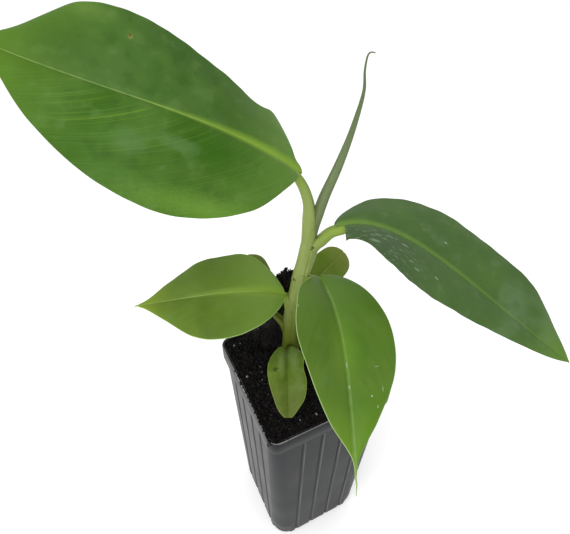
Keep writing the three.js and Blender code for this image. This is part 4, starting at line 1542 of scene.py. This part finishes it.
def leaves() -> list[Leaf]:
    """Sets out the plant's seven leaves, from the newest to the oldest."""
    top = Leaf(
        "top",
        stalk=((0.1, 10.6, 186.0, 2.3), (0.4, 10.5, 194, 2.5), (0.5, 10.5, 200, 2.55),
               (0.2, 10.6, 206.3, 2.2), (-1.85, 10.9, 213, 1.9), (-4.2, 11.4, 219.2, 1.5)),
        midrib=((-3.5, 11.5, 219.5), (-25, -1.5, 245), (-55.5, -10, 254), (-91.5, 6.5, 262.5)),
        left=(10.5, 22.8, 29.4, 25.7, 15, 4.6), right=(16, 17.5, 21.5, 24.7, 21.0, 6.4),
        bumps=(Bump(-1, 0.1, 0.045, 1.9), Bump(-1, 0.028, 0.016, -4.0)),
        bank=(-33, -42), fold=-5, lobe=(0.5, 3.0), seed=0.4, keel=1.7,
        finish=replace(
            YOUNG_BLADE, name="top_blade_green", base=0x3A5A22, light=0x486C28, dark=0x2E4E18,
            left_half_shade=0x305600, left_shade_share=0.9, heel=0x688E38, heel_share=0.5, heel_to=0.4,
            rib=0x84A436, margin_share=(0.05, 0.05), mottle=0.5, rib_width=(3.6, 0.22),
            rib_share=(0.85, 0.38), band_end=0.6, line_from=0.5, bloom=0x527036, bloom_share=0.3,
            veins=(0.75, 0.4), calm=0.25, tip=0x587C1E, tip_share=0.6, tip_from=0.62, specular=0.08,
            blemishes=(
                Blemish(32.0, 8.0, (10.0, 5.0), 0x28540A, 0.55, 1.0),
                Blemish(36.0, 26.0, (16.0, 3.5), 0x70963C, 0.5, 1.0),
                Blemish(80.0, -7.0, (9.0, 5.0), 0x36541A, 0.5, 1.0),
                Blemish(80.0, -20.0, (7.0, 3.0), 0x6A8A3C, 0.4, 1.0),
                Blemish(57.8, 12.7, (4.8, 4.0), 0x547442, 0.4, 0.5),
                Blemish(44.4, 9.6, (6.0, 2.2), 0x587846, 0.45, 0.5),
                Blemish(65.6, -16.4, (0.8, 1.0), 0x747438, 0.7),
                Blemish(65.9, -16.9, (0.35, 0.5), 0x604028))),
        stalk_finish=TOP_STALK, lengthwise=190, crosswise=76)
    right = Leaf(
        "right",
        stalk=((-1.0, 10.7, 171.0, 2.4), (0.8, 10.7, 179, 2.5), (2.4, 10.6, 186, 2.45),
               (5.5, 10.5, 190.0, 2.5), (8.9, 10, 194.1, 2.3), (13, 9.5, 197.9, 2.0)),
        midrib=((13.5, 9.5, 198.5), (36.5, 14, 201.5), (66, -2, 173), (103, -18, 151.5)),
        left=(9.3, 18.8, 23.5, 21.6, 18.6, 7.3), right=(13.6, 20.6, 21.7, 16.2, 9, 4),
        bumps=(Bump(-1, 0.0, 0.01, 1.2),), root_half=(1.5, 11.3),
        bank=(-8, 24), fold=2, lobe=(3.6, 3.0), seed=1.9, keel=1.7,
        finish=replace(
            YOUNG_BLADE, name="right_blade_green", base=0x3E5A26, light=0x48662A, dark=0x365420,
            bloom=0x586E4C, bloom_share=0.6, mottle=0.35, rib=0x70903C, rib_width=(2.8, 0.6),
            rib_share=(0.65, 0.1), band_end=1.05, margin=0x283C18, margin_share=(0.5, 0.4),
            veins=(0.2, 0.0), tip=0x547622, tip_share=0.8, tip_from=0.82, scuffs=0.45, blemishes=(
                *scuff_marks(
                    (17.1, -8.5, 2.0, 0.35, 0.45), (15.0, -12.8, 3.2, 0.8, 0.4, 0.6),
                    (24.5, -6.2, 2.2, 0.3, 0.6), (32.4, -6.9, 1.6, 0.35, 0.6),
                    (36.8, -13.4, 1.4, 0.3, 0.5), (40.1, -15.3, 1.6, 0.35, 0.5),
                    (50.6, -11.8, 1.1, 0.35, 0.7), (51.0, 8.0, 0.7, 0.4, 0.55)),
                Blemish(41.0, 8.0, (1.2, 0.5), 0x686840, 0.4))),
        stalk_finish=RIGHT_STALK, lengthwise=180, crosswise=70)
    front = Leaf(
        "front",
        stalk=((-3.4, 10.7, 156.0, 1.5), (-2, 10.7, 164, 1.8), (1.6, 8.7, 171, 1.8),
               (5.6, 5.4, 174.2, 1.5)),
        midrib=((6, 5, 174.5), (13.5, -16.5, 176), (13, -38, 169.5), (14, -63.5, 153)),
        left=(9.9, 15.5, 18.1, 16.3, 8.6, 1.7), right=(10, 14.5, 17, 14, 8, 1),
        bank=(-6, -9), fold=9, lobe=(2.6, 2.6), ear=0.35, root_half=(1.8, 1.8),
        ripple=(0.05, 17), seed=3.1, keel=1.4, channel=(0.4, 1.6), thread=(4.5, 1.0),
        finish=replace(
            YOUNG_BLADE, name="front_blade_green", base=0x4A661C, light=0x547022, dark=0x385812,
            heel=0x66823E, heel_share=0.55, heel_to=0.5, left_half_shade=0x426812, left_shade_share=0.9,
            rib_width=(2.2, 0.9), rib_share=(0.4, 0.2), rib=0x648A2E, bloom_share=0.12,
            line_from=0.1, tip=0x62861E, tip_share=0.7, tip_from=0.6, margin=0x9EBA76,
            margin_share=(0.15, 0.85), veins=(0.15, 0.05), blemishes=(
                Blemish(36.0, 0.0, (11.0, 4.0), 0x688C2A, 0.45, 1.0),
                *scuff_marks(
                    (8.1, 0.0, 0.5, 0.3, 0.8), (41.4, 0.1, 1.1, 0.22, 0.7),
                    (48.8, 0.1, 0.6, 0.3, 0.7), (42.7, 10.0, 0.2, 0.9, 0.4),
                    (52.0, 7.0, 0.35, 0.35, 0.8), (55.2, 8.7, 0.5, 0.25, 0.7),
                    (50.0, 11.0, 1.0, 0.25, 0.4), (17.0, -14.5, 0.6, 0.3, 0.6)))),
        stalk_finish=STALK_FINISH)
    left = Leaf(
        "left",
        stalk=((-5.8, 10.4, 140.0, 1.8), (-6.2, 10.4, 148, 2.1), (-6.9, 10.2, 156, 2.1),
               (-7.8, 9.8, 161.3, 1.7)),
        midrib=((-8, 9.5, 162), (-30, 4, 171.5), (-46.5, 2, 167), (-71, 6, 158)),
        left=(8.9, 16, 19.8, 17.7, 8.5, 2.5), right=(10.1, 17.8, 18, 15.8, 8.6, 2.2),
        bank=(-13, -20), fold=0, lobe=(0, 0), seed=4.4, keel=1.4, thread=(1.2, 0.3),
        finish=replace(
            YOUNG_BLADE, name="left_blade_green", base=0x526A20, light=0x5E7822, dark=0x466016,
            left_half_shade=0x445C12, left_shade_share=0.8, heel=0x7A9A42, heel_share=0.6, heel_to=0.55,
            rib=0x7C9834, rib_width=(5.0, 0.3), rib_share=(0.8, 0.3), band_end=0.8,
            bloom_share=0.12, tip=0x748A24, tip_share=0.75, tip_from=0.72, margin=0xA0BA6E,
            margin_share=(0.85, 0.2), veins=(0.2, 0.05)),
        stalk_finish=STALK_FINISH)
    small: dict[str, Any] = dict(
        slot="old_leaf", keel=0.9, arch=0.7, ripple=(0.1, 9.0), lengthwise=90, crosswise=48,
        stalk_finish=OLD_STALK)
    low_front = Leaf(
        "low_front",
        stalk=((-5.6, 9.5, 122.0, 1.6), (-5.6, 8, 127, 1.8), (-6.6, 4.2, 131, 1.8),
               (-7.4, 0.1, 134.9, 1.2)),
        midrib=((-7.5, -0.5, 136), (-7.5, -8.5, 138.5), (-7, -18, 136), (-7, -29, 129)),
        left=(5.5, 7.5, 7, 8, 7, 3.8), right=(5, 7, 8.5, 8, 6, 4),
        bank=(3, 0), fold=11, lobe=(1.8, 1.8), ear=0.7, root_half=(3.4, 3.4), tip_half=1.5,
        seed=5.2, finish=replace(
            OLD_BLADE, name="low_front_olive", rib=0x3E5414, rib_width=(2.4, 0.4), band_end=0.6,
            rib_share=(0.5, 0.0), mottle=0.5, tip=0x4C5416, tip_from=0.45, bloom=0x6C8248,
            blemishes=(
                # two painted highlights beside the midrib
                Blemish(9.5, -2.6, (5.5, 1.2), 0x80965C, 0.5, 1.0),
                Blemish(8.0, 3.2, (5.0, 1.6), 0x7A905A, 0.45, 1.0),
                Blemish(13.0, -5.0, (1.1, 1.3), 0x344814, 0.8),
                Blemish(13.4, -4.0, (0.5, 0.5), 0x788C54, 0.8))),
        channel=(0.4, 1.5), **small)
    low_right = Leaf(
        "low_right",
        stalk=((-4.4, 10.6, 142.0, 1.3), (-4, 11, 149, 1.5), (0, 15, 156, 1.5),
               (4.3, 19.4, 158.9, 1.2)),
        midrib=((4.8, 20, 159.2), (8.4, 24.5, 159.6), (13.4, 31.5, 159.0), (19.9, 41, 157.8)),
        left=(5, 7, 8, 8, 7, 4.5), right=(5, 7, 8, 8, 7, 4.5),
        bank=(16, 30), fold=9, lobe=(0, 0), tip_half=1.2, seed=6.3,
        finish=replace(
            OLD_BLADE, name="low_right_olive", base=0x5A720E, light=0x667E1C, dark=0x506808,
            bloom_share=0.3, mottle=0.4, tip=0x768032, tip_from=0.5, rib_share=(0.3, 0.6)),
        channel=(0.15, 0.8), **small)
    low_back = Leaf(
        "low_back",
        stalk=((-5.8, 10.6, 126.0, 1.9), (-7.0, 10.6, 134, 2.2), (-9.0, 11.2, 141.5, 2.3),
               (-15.4, 14.6, 147.6, 1.3)),
        midrib=((-16, 15, 148), (-20, 23, 153), (-24, 32, 156), (-26.8, 41.5, 155.5)),
        left=(5, 7, 7.8, 8, 7.4, 5), right=(5, 7, 7.5, 7.8, 7, 4.8),
        bank=(0, 0), fold=8, lobe=(1, 1), tip_half=1.6, seed=7.7,
        finish=OLD_BLADE, channel=(0.5, 0.8), **small)
    return [top, right, front, left, low_front, low_right, low_back]


def stem() -> Pseudostem:
    """Sets out the stem and the sheaths that wrap it."""
    knots = (
        (-5.5, 10.5, 122.0, 4.3), (-5.6, 10.5, 130, 3.75), (-5.6, 10.6, 140, 3.6),
        (-5.0, 10.7, 150, 3.45), (-3.45, 10.7, 163, 3.0), (-2.5, 10.7, 171, 2.85),
        (-1.0, 10.7, 179, 2.75), (0.2, 10.7, 187, 2.7), (0.8, 10.7, 192, 2.5),
        (0.9, 10.6, 197, 2.2), (0.8, 10.6, 201, 1.6))
    sheaths = (
        Sheath(191, -5, 26, shade=0.5), Sheath(174, -75, 14), Sheath(160, 185, 12),
        Sheath(153, 60, 10), Sheath(139, 160, 7), Sheath(130, -100, 3))
    return Pseudostem(knots, sheaths, STEM_FINISH)


def spear() -> SpearLeaf:
    """Sets out the rolled leaf, from inside the stem to its hooked dry tip."""
    knots = (
        (1.6, 11.0, 186, 1.7), (2.3, 11.0, 194, 1.9), (3.7, 11.0, 201, 2.0),
        (4.9, 11.1, 206.3, 2.0), (6.3, 11.5, 210.8, 1.85), (9.6, 12.7, 219.6, 1.55),
        (12.6, 14.1, 228.8, 1.15), (14.8, 15.4, 237.5, 0.85), (16.1, 16.5, 244.4, 0.55),
        (15.8, 17.3, 250, 0.36), (16.2, 17.9, 253.9, 0.28), (17.1, 18, 255.1, 0.22),
        (18.5, 18, 254.9, 0.14))
    return SpearLeaf(knots, SPEAR_FINISH)


def main() -> None:
    """Builds the studio, then the plant in its pot, piece by piece."""
    logging.basicConfig(level=logging.INFO, format="%(name)s: %(message)s")
    Studio().build()
    NurseryPot().build()
    PottingMix().build()
    stem().build()
    spear().build()
    for leaf in leaves():
        leaf.build()


if __name__ == "__main__":
    main()
